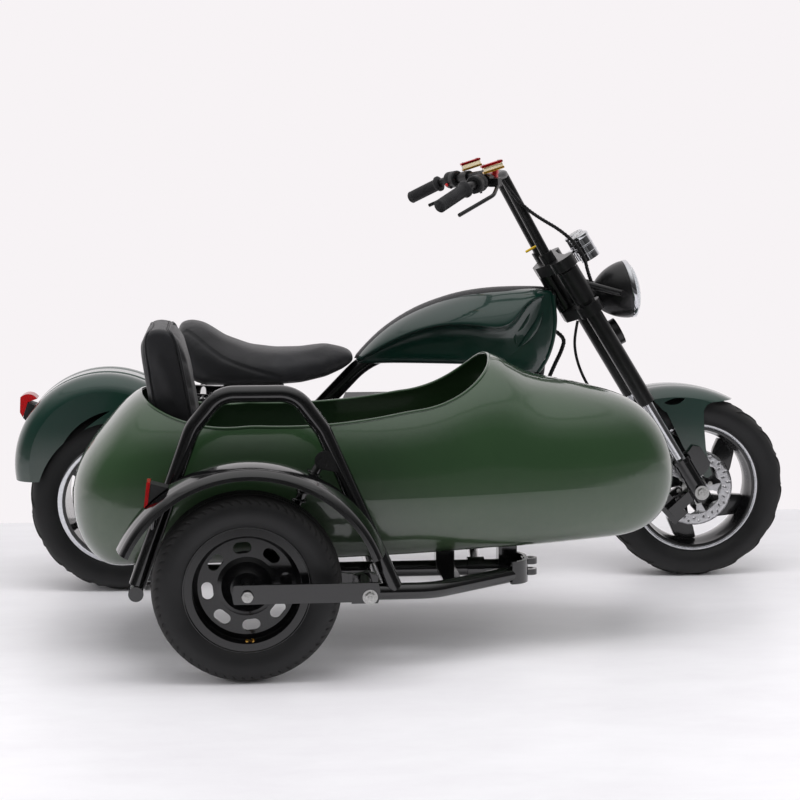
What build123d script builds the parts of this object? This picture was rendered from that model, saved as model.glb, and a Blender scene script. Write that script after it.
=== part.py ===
from build123d import *
import os
from math import cos, radians, sin, sqrt, tan

# Sidecar motorcycle: a low chopper-style bike with a torpedo sidecar on its right side.
# Working frame, mm: X forward from the rear axle, Y left from the bike's middle plane, Z up from the
# ground. Every piece is written out with the outfit's box centred on the origin, standing on Z = 0.

# ---- driving sizes -------------------------------------------------------------------------------
SEAT_GAP = 0.3  # gap between a piece and the seat it rests on
RUN_GAP = 0.05  # radial gap of a shaft in its bore

WHEELBASE = 1542.0
REAR_R, REAR_HALF, REAR_BEAD_R, REAR_RIM_HALF = 238.5, 107.0, 152.4, 96.0
FRONT_R, FRONT_HALF, FRONT_BEAD_R, FRONT_RIM_HALF = 245.0, 65.0, 165.1, 52.0
CAR_R, CAR_HALF, CAR_BEAD_R, CAR_RIM_HALF = 210.0, 60.0, 127.0, 48.0
FLANGE_RISE = 15.0  # rim flange above the bead seat
RIM_WALL = 7.0

CAR_WHEEL_X, CAR_WHEEL_Y = 317.5, -950.0  # sidecar wheel, ahead of the rear axle and out to the right
BODY_Y = -595.0  # middle plane of the sidecar body
HOOP_Y = -868.0  # plane of the guard hoop and of the outer chassis rail

RAKE = 31.5  # fork angle from upright, degrees
LEG_SPREAD = 103.0  # fork leg to middle plane
STEER_OFFSET = 40.0  # steering axis behind the leg axis
STEER_LIMIT = 35.0
BEND_SHARE = 0.45  # part of the shorter run that a cable's bend takes

AXLE_R = 8.0
LEG_TOP, SLEEVE_TOP, SLEEVE_LOW = 735.0, 700.0, 606.0  # distances up the fork leg from the axle
UPPER_LEG_LOW, CHROME_LOW, LEG_LOW = 281.0, 103.0, -26.0
YOKE_THICK = 30.0
UPPER_TUBE_R, SLEEVE_R, CHROME_R, LOWER_LEG_R = 22.0, 29.0, 14.5, 23.0
HEAD_R, STEM_R = 26.0, 12.0

BAR_R = 11.1
CHASSIS_TUBE_R, HOOP_TUBE_R = 19.0, 19.0
FRAME_TUBE_R, BACKBONE_R = 14.0, 22.0
CHASSIS_Z = 170.0

BODY_WALL = 5.0
FENDER_WALL = 4.0

# ---- placing -------------------------------------------------------------------------------------
TAIL_X = -276.0  # rearmost point, on the rear fender's reflector
ARM_OUT_Y = -1055.0  # outer face of the sidecar's swing arm
BOLT_HEAD = 9.0
BAR_END_Y = 374.5  # outer end of the left grip
ORIGIN = Vector(
    (TAIL_X + WHEELBASE + FRONT_R) / 2,
    (ARM_OUT_Y - BOLT_HEAD + BAR_END_Y) / 2,
    0,
)

REAR_AXLE = Vector(0, 0, REAR_R)
FRONT_AXLE = Vector(WHEELBASE, 0, FRONT_R)
CAR_AXLE = Vector(CAR_WHEEL_X, CAR_WHEEL_Y, CAR_R)
UP_FORK = Vector(-sin(radians(RAKE)), 0, cos(radians(RAKE)))
BEHIND_FORK = Vector(-cos(radians(RAKE)), 0, -sin(radians(RAKE)))


def fork_point(up, y=0.0, behind=0.0):
    """A point given by its distance up the fork from the front axle and behind the legs."""
    return FRONT_AXLE + UP_FORK * up + BEHIND_FORK * behind + Vector(0, y, 0)


def fork_plane(up, y=0.0, behind=0.0):
    """A plane square to the fork: local x points forward, local y to the left."""
    return Plane(origin=fork_point(up, y, behind), x_dir=BEHIND_FORK * -1, z_dir=UP_FORK)


# ---- shape helpers -------------------------------------------------------------------------------
def rod(start, end, radius):
    """A round bar between two points."""
    axis = Vector(*end) - Vector(*start)
    return Solid.make_cylinder(radius, axis.length, Plane(origin=start, z_dir=axis))


def pipe(start, end, radius, bore):
    """A round tube between two points."""
    return rod(start, end, radius) - rod(start, end, bore)


def bent_bar(points, bends, radius):
    """A round bar along straight runs joined by tangent bends."""
    path = FilletPolyline(*points, radius=bends)
    section = Plane(origin=path @ 0, z_dir=path % 0) * Circle(radius)
    return sweep(section, path=path)


def cable(points, radius):
    """A round cable along straight runs, each bend as large as the shorter run beside it allows."""
    bends = []
    for before, here, after in zip(points, points[1:], points[2:]):
        into = Vector(*here) - Vector(*before)
        out = Vector(*after) - Vector(*here)
        half_turn = radians(into.get_angle(out)) / 2
        bends.append(BEND_SHARE * min(into.length, out.length) / tan(half_turn))
    print("cable bends down to", round(min(bends)), "mm")
    return bent_bar(points, bends, radius)


def block(low, high):
    """A box between two corners."""
    size = Vector(*high) - Vector(*low)
    middle = (Vector(*high) + Vector(*low)) * 0.5
    return Pos(middle) * Box(size.X, size.Y, size.Z)


def outline(*steps):
    """A face from points; a step of two points is an arc through the first to the second."""
    here = steps[0]
    edges = []
    for step in steps[1:]:
        if isinstance(step[0], tuple):
            edges.append(Edge.make_three_point_arc(here, step[0], step[1]))
            here = step[1]
        else:
            edges.append(Edge.make_line(here, step))
            here = step
    if (Vector(*here) - Vector(*steps[0])).length > 1e-6:
        edges.append(Edge.make_line(here, steps[0]))
    return Face(Wire(edges))


def side_plate(face, y_low, y_high):
    """A side-view outline (x, z) made solid between two values of Y."""
    plane = Plane(origin=(0, y_high, 0), x_dir=(1, 0, 0), z_dir=(0, -1, 0))
    return extrude(plane * face, amount=y_high - y_low, dir=(0, -1, 0))


def flat_plate(face, z_low, z_high):
    """A top-view outline (x, y) made solid between two heights."""
    return extrude(Pos(0, 0, z_low) * face, amount=z_high - z_low, dir=(0, 0, 1))


def wheel_plane(axle):
    """Half-section plane of a wheel: local x is outward from the axle, local y to the right."""
    return Plane(origin=axle, x_dir=(0, 0, 1), z_dir=(1, 0, 0))


def spun(axle, face, arc=360.0):
    """A half-section (radius, offset to the right) turned about a wheel's axle."""
    return revolve(wheel_plane(axle) * face, axis=Axis(axle, (0, 1, 0)), revolution_arc=arc)


def both_sides(make):
    """The same piece on the left and on the right."""
    return [make(1), make(-1)]


def compound(*groups):
    """Separate solids kept together in one node."""
    solids = []
    for group in groups:
        for item in group if isinstance(group, (list, tuple)) else [group]:
            solids.extend(item.solids())
    return Compound(children=solids)


# ---- wheels --------------------------------------------------------------------------------------
def tyre(axle, radius, half, bead_r, rim_half):
    """A tyre: bead faces between the rim flanges, bulged side walls and a crowned tread."""
    bead = rim_half - RIM_WALL - SEAT_GAP
    flange = bead_r + FLANGE_RISE + 3
    side = (flange + radius) / 2 + 4
    shoulder_r, shoulder = radius - 13, half * 0.88
    face = outline(
        (bead_r + SEAT_GAP, -bead),
        (bead_r + SEAT_GAP, bead),
        (flange, bead),
        ((side, half), (shoulder_r, shoulder)),
        ((radius, 0), (shoulder_r, -shoulder)),
        ((side, -half), (flange, -bead)),
    )
    return spun(axle, face)


def rim_ring(axle, bead_r, rim_half):
    """The rim's barrel with its two flanges."""
    inner = bead_r - RIM_WALL
    flange = bead_r + FLANGE_RISE
    bead = rim_half - RIM_WALL
    face = outline(
        (inner, -rim_half),
        (flange - 3, -rim_half),
        (flange, -rim_half + 3),
        (flange - 3, -bead),
        (bead_r, -bead),
        (bead_r, bead),
        (flange - 3, bead),
        (flange, rim_half - 3),
        (flange - 3, rim_half),
        (inner, rim_half),
    )
    return spun(axle, face)


FRONT_HUB_R, FRONT_HUB_HALF, FRONT_SPOKES = 34.0, 46.0, 5


def front_rim():
    """Five hooked blades between the hub and the barrel."""
    wheel = rim_ring(FRONT_AXLE, FRONT_BEAD_R, FRONT_RIM_HALF)
    hub = rod(FRONT_AXLE + Vector(0, -FRONT_HUB_HALF, 0), FRONT_AXLE + Vector(0, FRONT_HUB_HALF, 0), FRONT_HUB_R)
    reach = FRONT_BEAD_R - RIM_WALL + 2
    blade = outline(
        (-14, 25),
        ((-26, 95), (-4, reach)),
        (34, reach - 4),
        ((8, 100), (14, 25)),
    )
    wheel = wheel + hub
    for index in range(FRONT_SPOKES):
        turned = Rot(0, 0, index * 360.0 / FRONT_SPOKES + 12) * blade
        moved = Pos(WHEELBASE, FRONT_R, 0) * turned
        wheel = wheel + side_plate(moved, -14, 14)
    return wheel - rod(FRONT_AXLE + Vector(0, -80, 0), FRONT_AXLE + Vector(0, 80, 0), AXLE_R + RUN_GAP)


REAR_MOTOR_R, REAR_MOTOR_HALF, REAR_WEBS = 112.0, 70.0, 6


def rear_rim():
    """A hub motor as one plain drum, carried to the barrel by six cast webs."""
    wheel = rim_ring(REAR_AXLE, REAR_BEAD_R, REAR_RIM_HALF)
    drum = outline(
        (0, -REAR_MOTOR_HALF),
        (REAR_MOTOR_R - 14, -REAR_MOTOR_HALF),
        (REAR_MOTOR_R, -REAR_MOTOR_HALF + 14),
        (REAR_MOTOR_R, REAR_MOTOR_HALF - 14),
        (REAR_MOTOR_R - 14, REAR_MOTOR_HALF),
        (0, REAR_MOTOR_HALF),
    )
    wheel = wheel + spun(REAR_AXLE, drum)
    reach = REAR_BEAD_R - RIM_WALL + 2
    web = outline((-11, REAR_MOTOR_R - 4), (-8, reach), (8, reach), (11, REAR_MOTOR_R - 4))
    for index in range(REAR_WEBS):
        moved = Pos(0, REAR_R, 0) * (Rot(0, 0, index * 360.0 / REAR_WEBS) * web)
        wheel = wheel + side_plate(moved, -40, 40)
    return wheel - rod(REAR_AXLE + Vector(0, -90, 0), REAR_AXLE + Vector(0, 90, 0), AXLE_R + RUN_GAP)


CAR_SLOTS, CAR_SLOT_R, CAR_SLOT_LONG, CAR_SLOT_WIDE = 8, 87.0, 40.0, 25.0
CAR_HUB_HALF = 34.0


def sidecar_rim():
    """A pressed steel disc wheel: dished centre, raised hub, eight obround vents."""
    wheel = rim_ring(CAR_AXLE, CAR_BEAD_R, CAR_RIM_HALF)
    reach = CAR_BEAD_R - RIM_WALL + 2
    face = outline(
        (0, CAR_HUB_HALF - 6),
        (0, CAR_HUB_HALF),
        (36, CAR_HUB_HALF),
        (56, 13),
        (66, 9),
        (108, 9),
        (reach, 4),
        (reach, -4),
        (104, 2),
        (66, 2),
        (46, 20),
        (30, 26),
    )
    wheel = wheel + spun(CAR_AXLE, face)
    hub = rod(CAR_AXLE + Vector(0, -30, 0), CAR_AXLE + Vector(0, CAR_HUB_HALF, 0), 24)
    wheel = wheel + hub
    slot = Pos(0, CAR_SLOT_R) * SlotOverall(CAR_SLOT_LONG, CAR_SLOT_WIDE)
    for index in range(CAR_SLOTS):
        moved = Pos(CAR_WHEEL_X, CAR_R, 0) * (Rot(0, 0, index * 360.0 / CAR_SLOTS + 6) * slot)
        wheel = wheel - side_plate(moved, CAR_WHEEL_Y - 30, CAR_WHEEL_Y + 30)
    return wheel - rod(CAR_AXLE + Vector(0, -90, 0), CAR_AXLE + Vector(0, 90, 0), AXLE_R + RUN_GAP)


def brake_disc(axle, y, outer_r, inner_r, holes, hole_r):
    """A drilled brake disc, 4 mm thick, with one ring of holes."""
    disc = pipe(axle + Vector(0, y - 2, 0), axle + Vector(0, y + 2, 0), outer_r, inner_r)
    for index in range(holes):
        turn = radians(index * 360.0 / holes)
        ring = outer_r - 14 - 12 * (index % 2)
        centre = axle + Vector(ring * sin(turn), y, ring * cos(turn))
        disc = disc - rod(centre + Vector(0, -3, 0), centre + Vector(0, 3, 0), hole_r)
    return disc


FRONT_DISC_Y = -(FRONT_HUB_HALF + 2 + SEAT_GAP)
FRONT_DISC_R = 104.0
REAR_DISC_Y = REAR_MOTOR_HALF + 2 + SEAT_GAP
REAR_DISC_R = 92.0

# ---- front fork and steering ---------------------------------------------------------------------
UPPER_YOKE_AT, LOWER_YOKE_AT = LEG_TOP - YOKE_THICK, 566.0
AXLE_OUT = 116.0


def yoke(up):
    """A triple clamp: two round clamps and the stem boss joined by a waisted plate."""
    plane = fork_plane(up)
    plate = outline(
        (20, -LEG_SPREAD),
        (14, 0),
        (20, LEG_SPREAD),
        (-22, LEG_SPREAD),
        (-STEER_OFFSET - 24, 24),
        (-STEER_OFFSET - 24, -24),
        (-22, -LEG_SPREAD),
    )
    solid = extrude(plane * plate, amount=YOKE_THICK, dir=UP_FORK)
    for side in (1, -1):
        solid = solid + rod(fork_point(up, side * LEG_SPREAD), fork_point(up + YOKE_THICK, side * LEG_SPREAD), 34)
    return solid


def fork_yokes():
    """Both triple clamps, the steering stem and the black upper tubes with their sleeves."""
    body = yoke(UPPER_YOKE_AT) + yoke(LOWER_YOKE_AT)
    stem = rod(fork_point(LOWER_YOKE_AT + 4, 0, STEER_OFFSET), fork_point(LEG_TOP - 4, 0, STEER_OFFSET), STEM_R)
    body = body + stem
    for side in (1, -1):
        y = side * LEG_SPREAD
        body = body + rod(fork_point(UPPER_LEG_LOW, y), fork_point(LEG_TOP, y), UPPER_TUBE_R)
        body = body + rod(fork_point(SLEEVE_LOW, y), fork_point(SLEEVE_TOP, y), SLEEVE_R)
        body = body - rod(fork_point(UPPER_LEG_LOW, y), fork_point(UPPER_LEG_LOW + 50, y), CHROME_R + SEAT_GAP)
    return body


def fork_stanchions():
    return compound(
        both_sides(
            lambda side: rod(
                fork_point(CHROME_LOW - 60, side * LEG_SPREAD),
                fork_point(UPPER_LEG_LOW + 48, side * LEG_SPREAD),
                CHROME_R,
            )
        )
    )


FRONT_FENDER_HALF = 76.0
CALIPER_TURN = 222.0
CALIPER_OUT = FRONT_DISC_Y - 16  # outer face of the front caliper


def fork_lowers():
    """Black lower legs with the axle eyes, and the caliper lugs on the right leg."""

    bracket = outline((1490, 316), (1526, 366), (1546, 362), (1576, 318), (1568, 298), (1536, 268), (1514, 276))

    def leg(side):
        y = side * LEG_SPREAD
        solid = rod(fork_point(LEG_LOW, y), fork_point(CHROME_LOW, y), LOWER_LEG_R)
        solid = solid + side_plate(bracket, *sorted((side * (FRONT_FENDER_HALF + SEAT_GAP), side * 87)))
        if side < 0:
            reach = Rot(0, 0, CALIPER_TURN) * (Pos(57, 0) * Rectangle(78, 28))
            lug_plane = Plane(origin=FRONT_AXLE + Vector(0, CALIPER_OUT - SEAT_GAP, 0), x_dir=(1, 0, 0), z_dir=(0, -1, 0))
            solid = solid + extrude(lug_plane * reach, amount=24)
        solid = solid + rod(fork_point(CHROME_LOW - 12, y), fork_point(CHROME_LOW, y), LOWER_LEG_R + 3)
        solid = solid - rod(fork_point(CHROME_LOW - 62, y), fork_point(CHROME_LOW + 1, y), CHROME_R + SEAT_GAP)
        bore = rod(FRONT_AXLE + Vector(0, y - 30, 0), FRONT_AXLE + Vector(0, y + 30, 0), AXLE_R + RUN_GAP)
        return solid - bore

    return compound(both_sides(leg))


def through_axle(axle, y_low, y_high, head_r=13.0):
    """A wheel spindle with a hexagon head at each end."""
    solid = rod(axle + Vector(0, y_low, 0), axle + Vector(0, y_high, 0), AXLE_R)
    for start, end in ((y_low - BOLT_HEAD, y_low), (y_high, y_high + BOLT_HEAD)):
        plane = Plane(origin=axle + Vector(0, end, 0), x_dir=(1, 0, 0), z_dir=(0, -1, 0))
        solid = solid + extrude(plane * RegularPolygon(head_r, 6), amount=end - start)
    return solid


FRONT_AXLE_HALF = LEG_SPREAD + LOWER_LEG_R + SEAT_GAP


def front_axle():
    """The front spindle with its spacers between the hub and the legs."""
    solid = through_axle(FRONT_AXLE, -FRONT_AXLE_HALF, FRONT_AXLE_HALF)
    inner, outer = FRONT_HUB_HALF + 5, LEG_SPREAD - LOWER_LEG_R - SEAT_GAP
    for low, high in ((-outer, -inner), (inner, outer)):
        solid = solid + rod(FRONT_AXLE + Vector(0, low, 0), FRONT_AXLE + Vector(0, high, 0), 14)
    return solid


# Handlebar: middle section across the risers, swept back to the grips.
BAR_TOP = (1012.0, 0.0, 1092.0)
BAR_BEND = (1004.0, 120.0, 1092.0)
GRIP_IN = (893.0, 285.0, 1066.0)
GRIP_END = (806.0, 361.0, 1017.0)
RISER_Y = 60.0
GRIP_R = 17.0


def mirrored(point, side):
    return (point[0], side * point[1], point[2])


def toward(start, end, share):
    return tuple(a + (b - a) * share for a, b in zip(start, end))


def handlebar():
    """The bar in one piece with its two risers, clamped to the upper yoke."""
    right = [mirrored(p, -1) for p in (toward(GRIP_IN, GRIP_END, 0.97), GRIP_IN, BAR_BEND)]
    left = [BAR_BEND, GRIP_IN, toward(GRIP_IN, GRIP_END, 0.97)]
    bar = bent_bar(right + left, [60, 60, 60, 60], BAR_R)
    for side in (1, -1):
        seat = fork_point(LEG_TOP + SEAT_GAP, side * RISER_Y, STEER_OFFSET - 16)
        foot = fork_point(LEG_TOP + 14, side * RISER_Y, STEER_OFFSET - 16)
        top = (BAR_BEND[0] + 4, side * RISER_Y, BAR_TOP[2])
        bar = bar + rod(seat, foot + UP_FORK * 14, 19) + rod(foot, top, 13)
    return bar


def grips():
    """Rubber grips over the bar ends."""

    def grip(side):
        start = toward(GRIP_IN, GRIP_END, 0.12)
        solid = rod(mirrored(start, side), mirrored(GRIP_END, side), GRIP_R)
        collar = rod(mirrored(start, side), mirrored(toward(start, GRIP_END, 0.08), side), GRIP_R + 5)
        core = rod(
            mirrored(toward(GRIP_IN, GRIP_END, 0.0), side),
            mirrored(toward(GRIP_IN, GRIP_END, 0.975), side),
            BAR_R + SEAT_GAP,
        )
        return solid + collar - core

    return compound(both_sides(grip))


def bar_frame(share, side):
    """A frame on the bar between its bend and the grip: z along the bar outwards."""
    here = Vector(*mirrored(toward(BAR_BEND, GRIP_IN, share), side))
    along = Vector(*mirrored(GRIP_IN, side)) - Vector(*mirrored(BAR_BEND, side))
    return Plane(origin=here, x_dir=Vector(0, 0, 1).cross(along), z_dir=along)


def switch_pods():
    """Switch housings clamped round the bar inside the grips."""

    def pod(side):
        plane = bar_frame(0.80, side)
        solid = plane * Cylinder(23, 40)
        return solid - plane * Cylinder(BAR_R + SEAT_GAP, 60)

    return compound(both_sides(pod))


def brake_levers():
    """Lever perches with their blades sweeping out in front of the grips."""

    def lever(side):
        plane = bar_frame(0.52, side)
        perch = plane * Cylinder(17, 26)
        ahead = -1 if side > 0 else 1
        perch = perch + plane * (Pos(ahead * 24, -4, 0) * Box(26, 22, 22))
        blade_start = plane.from_local_coords((ahead * 32, -10, 0))
        tip = Vector(*mirrored((858.0, 352.0, 996.0), side))
        knee = blade_start + (tip - blade_start) * 0.35 + Vector(22, side * 6, 0)
        blade = bent_bar([tuple(blade_start), tuple(knee), tuple(tip)], [40], 5)
        return perch + blade - plane * Cylinder(BAR_R + SEAT_GAP, 60)

    return compound(both_sides(lever))


def master_cylinders():
    """Brake fluid reservoirs standing on the lever perches."""

    def pot(side):
        plane = bar_frame(0.52, side)
        ahead = -1 if side > 0 else 1
        top = plane.from_local_coords((ahead * 16, 0, 0)) + Vector(0, 0, 34.7)
        solid = Plane(origin=top, x_dir=(0.95, 0, 0.31), z_dir=(-0.31, 0, 0.95)) * Box(56, 34, 22)
        return solid

    return compound(both_sides(pot))


GAUGE_Y, GAUGE_R, GAUGE_LONG = 34.0, 26.0, 70.0


def gauge_cups():
    """Two instrument cups side by side ahead of the upper yoke, on one stay."""
    cups = []
    for side in (1, -1):
        base = fork_point(UPPER_YOKE_AT - 22, side * GAUGE_Y, -78)
        top = fork_point(UPPER_YOKE_AT - 22 + GAUGE_LONG, side * GAUGE_Y, -78)
        cups.append(rod(base, top, GAUGE_R))
    stay = fork_plane(UPPER_YOKE_AT + 10) * (Pos(36.8, 0, 5) * Box(42, 40, 6))
    return cups[0] + cups[1] + stay


LAMP_CENTRE = Vector(1362, 0, 783)
LAMP_TILT = 11.0
LAMP_AXIS = Vector(cos(radians(LAMP_TILT)), 0, sin(radians(LAMP_TILT)))
LAMP_R, LAMP_DEEP = 77.0, 100.0
LAMP_ARM_Y = 86.0


def lamp_plane():
    """Half-section plane of the headlamp: local x is radius, local y is depth behind the rim."""
    up = Vector(-sin(radians(LAMP_TILT)), 0, cos(radians(LAMP_TILT)))
    return Plane(origin=LAMP_CENTRE, x_dir=up, z_dir=Vector(0, 1, 0))


def headlamp():
    """The lamp's spun bucket, open at the front, with side arms to the fork."""
    face = outline(
        (LAMP_R - 6, 0),
        (LAMP_R, 0),
        (LAMP_R, -14),
        ((LAMP_R - 22, -68), (22, -LAMP_DEEP)),
        (0, -LAMP_DEEP),
        (0, -LAMP_DEEP + 4),
        (20, -LAMP_DEEP + 4),
        ((LAMP_R - 27, -66), (LAMP_R - 6, -16)),
    )
    plane = lamp_plane()
    flipped = face if plane.y_dir.dot(LAMP_AXIS) > 0 else Rot(180, 0, 0) * face
    return revolve(plane * flipped, axis=Axis(LAMP_CENTRE, LAMP_AXIS), revolution_arc=360)


def headlamp_lens():
    """The lamp's glass with its bright ring."""
    edge, edge_z, rise = LAMP_R - 8, 9.0, 28.0
    dome_r = (edge**2 + (rise - edge_z) ** 2) / (2 * (rise - edge_z))
    half_way = rise - dome_r + sqrt(dome_r**2 - (edge / 2) ** 2)
    face = outline(
        (0, -3),
        (LAMP_R - 6.3, -3),
        (LAMP_R - 6.3, SEAT_GAP),
        (LAMP_R + 2, SEAT_GAP),
        ((LAMP_R, edge_z - 1), (edge, edge_z)),
        ((edge / 2, half_way), (0, rise)),
    )
    plane = lamp_plane()
    flipped = face if plane.y_dir.dot(LAMP_AXIS) > 0 else Rot(180, 0, 0) * face
    return revolve(plane * flipped, axis=Axis(LAMP_CENTRE, LAMP_AXIS), revolution_arc=360)


def lamp_arm(side):
    """An arm from a fork tube, bolted to the lamp's side."""
    y = side * LAMP_ARM_Y
    near = fork_point(640, y, -SLEEVE_R + 4)
    bolt = LAMP_CENTRE - LAMP_AXIS * 34
    solid = rod((near.X - 4, y, near.Z), (bolt.X, y, bolt.Z), 9)
    solid = solid + rod((bolt.X, side * (LAMP_R - 11), bolt.Z), (bolt.X, side * (LAMP_ARM_Y + 12), bolt.Z), 9)
    leg = rod(fork_point(500, side * LEG_SPREAD), fork_point(720, side * LEG_SPREAD), SLEEVE_R + SEAT_GAP)
    return max((solid - leg).solids(), key=lambda piece: piece.volume)


HORN_CENTRE = Vector(1333, 0, 668)
HORN_AXIS = Vector(cos(radians(28)), 0, sin(radians(28)))


def horn():
    """A disc horn on a short stay from the lower yoke."""
    disc = rod(HORN_CENTRE - HORN_AXIS * 12, HORN_CENTRE + HORN_AXIS * 6, 37)
    back = rod(HORN_CENTRE - HORN_AXIS * 30, HORN_CENTRE - HORN_AXIS * 10, 16)
    foot = fork_plane(LOWER_YOKE_AT) * (Pos(-2, 0, -2 - SEAT_GAP) * Box(30, 24, 4))
    return disc + back + foot + rod(fork_point(LOWER_YOKE_AT - 3, 0, -8), HORN_CENTRE - HORN_AXIS * 24, 5)


FRONT_FENDER_C, FRONT_FENDER_R = (1480.0, 162.0), 363.0


def front_fender():
    """A crowned guard over the front tyre, carried by a deep leg each side, with a slot behind the crown."""
    centre = Vector(FRONT_FENDER_C[0], 0, FRONT_FENDER_C[1])
    half, wall, top = FRONT_FENDER_HALF, FENDER_WALL, FRONT_FENDER_R
    shell = outline(
        (top - 67, half),
        (top - 29, half),
        ((top - 11, half - 18), (top - 2, 24)),
        ((top, 0), (top - 2, -24)),
        ((top - 11, -half + 18), (top - 29, -half)),
        (top - 67, -half),
        (top - 67, -half + wall),
        (top - 30, -half + wall),
        ((top - 14.5, -half + 20), (top - wall - 2, -24)),
        ((top - wall, 0), (top - wall - 2, 24)),
        ((top - 14.5, half - 20), (top - 30, half - wall)),
        (top - 67, half - wall),
    )
    keep = outline(
        (1398, 560),
        (1398, 512),
        (1426, 480),
        (1452, 455),
        (1463, 436),
        (1557, 440),
        (1557, 459),
        (1566, 474),
        (1580, 481),
        (1643, 484),
        (1672, 476),
        (1690, 560),
    )
    leg = outline(
        (1452, 462),
        (1463, 441),
        (1505, 356),
        (1563, 277),
        (1571, 274),
        (1584, 284),
        (1574, 317),
        (1565, 355),
        (1560, 405),
        (1557, 444),
        (1557, 470),
        (1500, 480),
    )
    solid = spun(centre, shell) & side_plate(keep, -half - 10, half + 10)
    for side in (1, -1):
        low, high = sorted((side * (half - wall), side * half))
        solid = solid + side_plate(leg, low, high)
    slot = outline((1448, 481), ((1476, 493), (1506, 492)), ((1484, 477), (1448, 481)))
    return solid - side_plate(slot, -half - 10, half + 10)


def front_caliper():
    """The brake caliper straddling the disc, on a bracket from the right leg."""
    plane = Plane(origin=FRONT_AXLE + Vector(0, FRONT_DISC_Y, 0), x_dir=(1, 0, 0), z_dir=(0, -1, 0))
    face = Rot(0, 0, CALIPER_TURN) * (Pos(86, 0) * Rectangle(46, 74))
    body = extrude(plane * face, amount=FRONT_DISC_Y - CALIPER_OUT) + extrude(plane * face, amount=-14)
    slot_face = Circle(FRONT_DISC_R + 4)
    slot = extrude(plane * slot_face, amount=4) + extrude(plane * slot_face, amount=-4)
    return body - slot - rod(FRONT_AXLE + Vector(0, -40, 0), FRONT_AXLE + Vector(0, 40, 0), 60)


# the wrapped loom from the handlebar past the gauges to the back of the headlamp
BAR_LOOM_R = 6.0
BAR_LOOM = [
    (1004.5, -84, 1077),
    (1031, -80.5, 1040),
    (1068, -79, 1002),
    (1109, -79, 974),
    (1157, -79.4, 947),
    (1199, -80, 912),
    (1226, -80, 872),
    (1236, -74, 832),
    (1250, -56, 804),
]
# the front brake's hose from the lower yoke to the caliper, behind the right leg
HOSE_R = 4.0
BRAKE_HOSE = [
    (1213, -60, 703),
    (1204, -62, 660),
    (1206, -66, 618),
    (1218, -72, 574),
    (1240, -80, 528),
    (1285, -88, 466),
    (1336, -92, 400),
    (1380, -84, 336),
    (1410, -74, 284),
    (1431, -66, 242),
    (1451.8, -62, 216.2),
]


# ---- bike frame ----------------------------------------------------------------------------------
HEAD_LOW, HEAD_HIGH = LOWER_YOKE_AT + YOKE_THICK + SEAT_GAP, UPPER_YOKE_AT - SEAT_GAP
CRADLE_Z, CRADLE_Y = 226.0, 62.0
PIVOT = (452.0, 0.0, 262.0)
BACKBONE_PATH = [(1158, 0, 776), (1050, 0, 728), (820, 0, 668), (640, 0, 588), (508, 0, 452), (456, 0, 330)]
BACKBONE_BENDS = [120, 200, 200, 120]
SWING_Y = 134.0
SHOCK_Y = SWING_Y + 18 + SEAT_GAP
SHOCK_TOP = (216.0, SHOCK_Y, 508.0)
SHOCK_LOW = (52.0, SHOCK_Y, 290.0)
RAIL_Y = 92.0
RAIL_END_X = 106.0
SADDLE_FLOOR = 538.0
UPRIGHT = [(430, CRADLE_Y, 320), (420, RAIL_Y, 508)]
BATTERY_LOW = CRADLE_Z + 22


def down_tubes(extra):
    """The twin tubes from the head down, under the battery and up to the pivot."""
    tubes = None
    for side in (1, -1):
        down = [
            (1128, side * 24, 752),
            (1116, side * 34, 564),
            (1052, side * CRADLE_Y, 330),
            (1006, side * CRADLE_Y, CRADLE_Z),
            (470, side * CRADLE_Y, CRADLE_Z),
            (420, side * CRADLE_Y, 330),
        ]
        tube = bent_bar(down, [200, 200, 60, 60], FRAME_TUBE_R + extra)
        tubes = tube if tubes is None else tubes + tube
    return tubes


def seat_rail(side, extra):
    """The rail under the saddle on one side."""
    points = [(512, side * 20, 462), (440, side * RAIL_Y, 504), (250, side * RAIL_Y, 506), (RAIL_END_X, side * RAIL_Y, 516)]
    return bent_bar(points, [60, 200], FRAME_TUBE_R + extra)


def main_frame():
    """Head tube, backbone, twin down tubes and cradle, seat rails and the pivot lugs."""
    head = pipe(fork_point(HEAD_LOW, 0, STEER_OFFSET), fork_point(HEAD_HIGH, 0, STEER_OFFSET), HEAD_R, STEM_R + 3)
    frame = head + bent_bar(BACKBONE_PATH, BACKBONE_BENDS, BACKBONE_R)
    frame = frame - rod(fork_point(HEAD_LOW - 5, 0, STEER_OFFSET), fork_point(HEAD_HIGH + 5, 0, STEER_OFFSET), STEM_R + 3)
    frame = frame + down_tubes(0.0)
    for side in (1, -1):
        frame = frame + seat_rail(side, 0.0)
        lug = outline((400, 235), (490, 235), (500, 330), (400, 345))
        low, high = sorted((side * (CRADLE_Y - 4), side * (CRADLE_Y + 12)))
        frame = frame + side_plate(lug, low, high)
        frame = frame + rod(mirrored(UPRIGHT[0], side), mirrored(UPRIGHT[1], side), FRAME_TUBE_R)
    frame = frame + rod((456, -CRADLE_Y, 336), (456, CRADLE_Y, 336), 16)
    frame = frame + rod((PIVOT[0], -CRADLE_Y - 10, PIVOT[2]), (PIVOT[0], CRADLE_Y + 10, PIVOT[2]), 20)
    for x in (580, 860):
        cross_z = BATTERY_LOW - SEAT_GAP - 11
        frame = frame + rod((x, -CRADLE_Y, cross_z), (x, CRADLE_Y, cross_z), 11)
    frame = frame + rod((216, -RAIL_Y - 28, 508), (216, RAIL_Y + 28, 508), 12)
    frame = frame + block((270, -RAIL_Y, 506), (430, RAIL_Y, SADDLE_FLOOR - SEAT_GAP))
    return frame - rod((PIVOT[0], -120, PIVOT[2]), (PIVOT[0], 120, PIVOT[2]), 10 + RUN_GAP)


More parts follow.
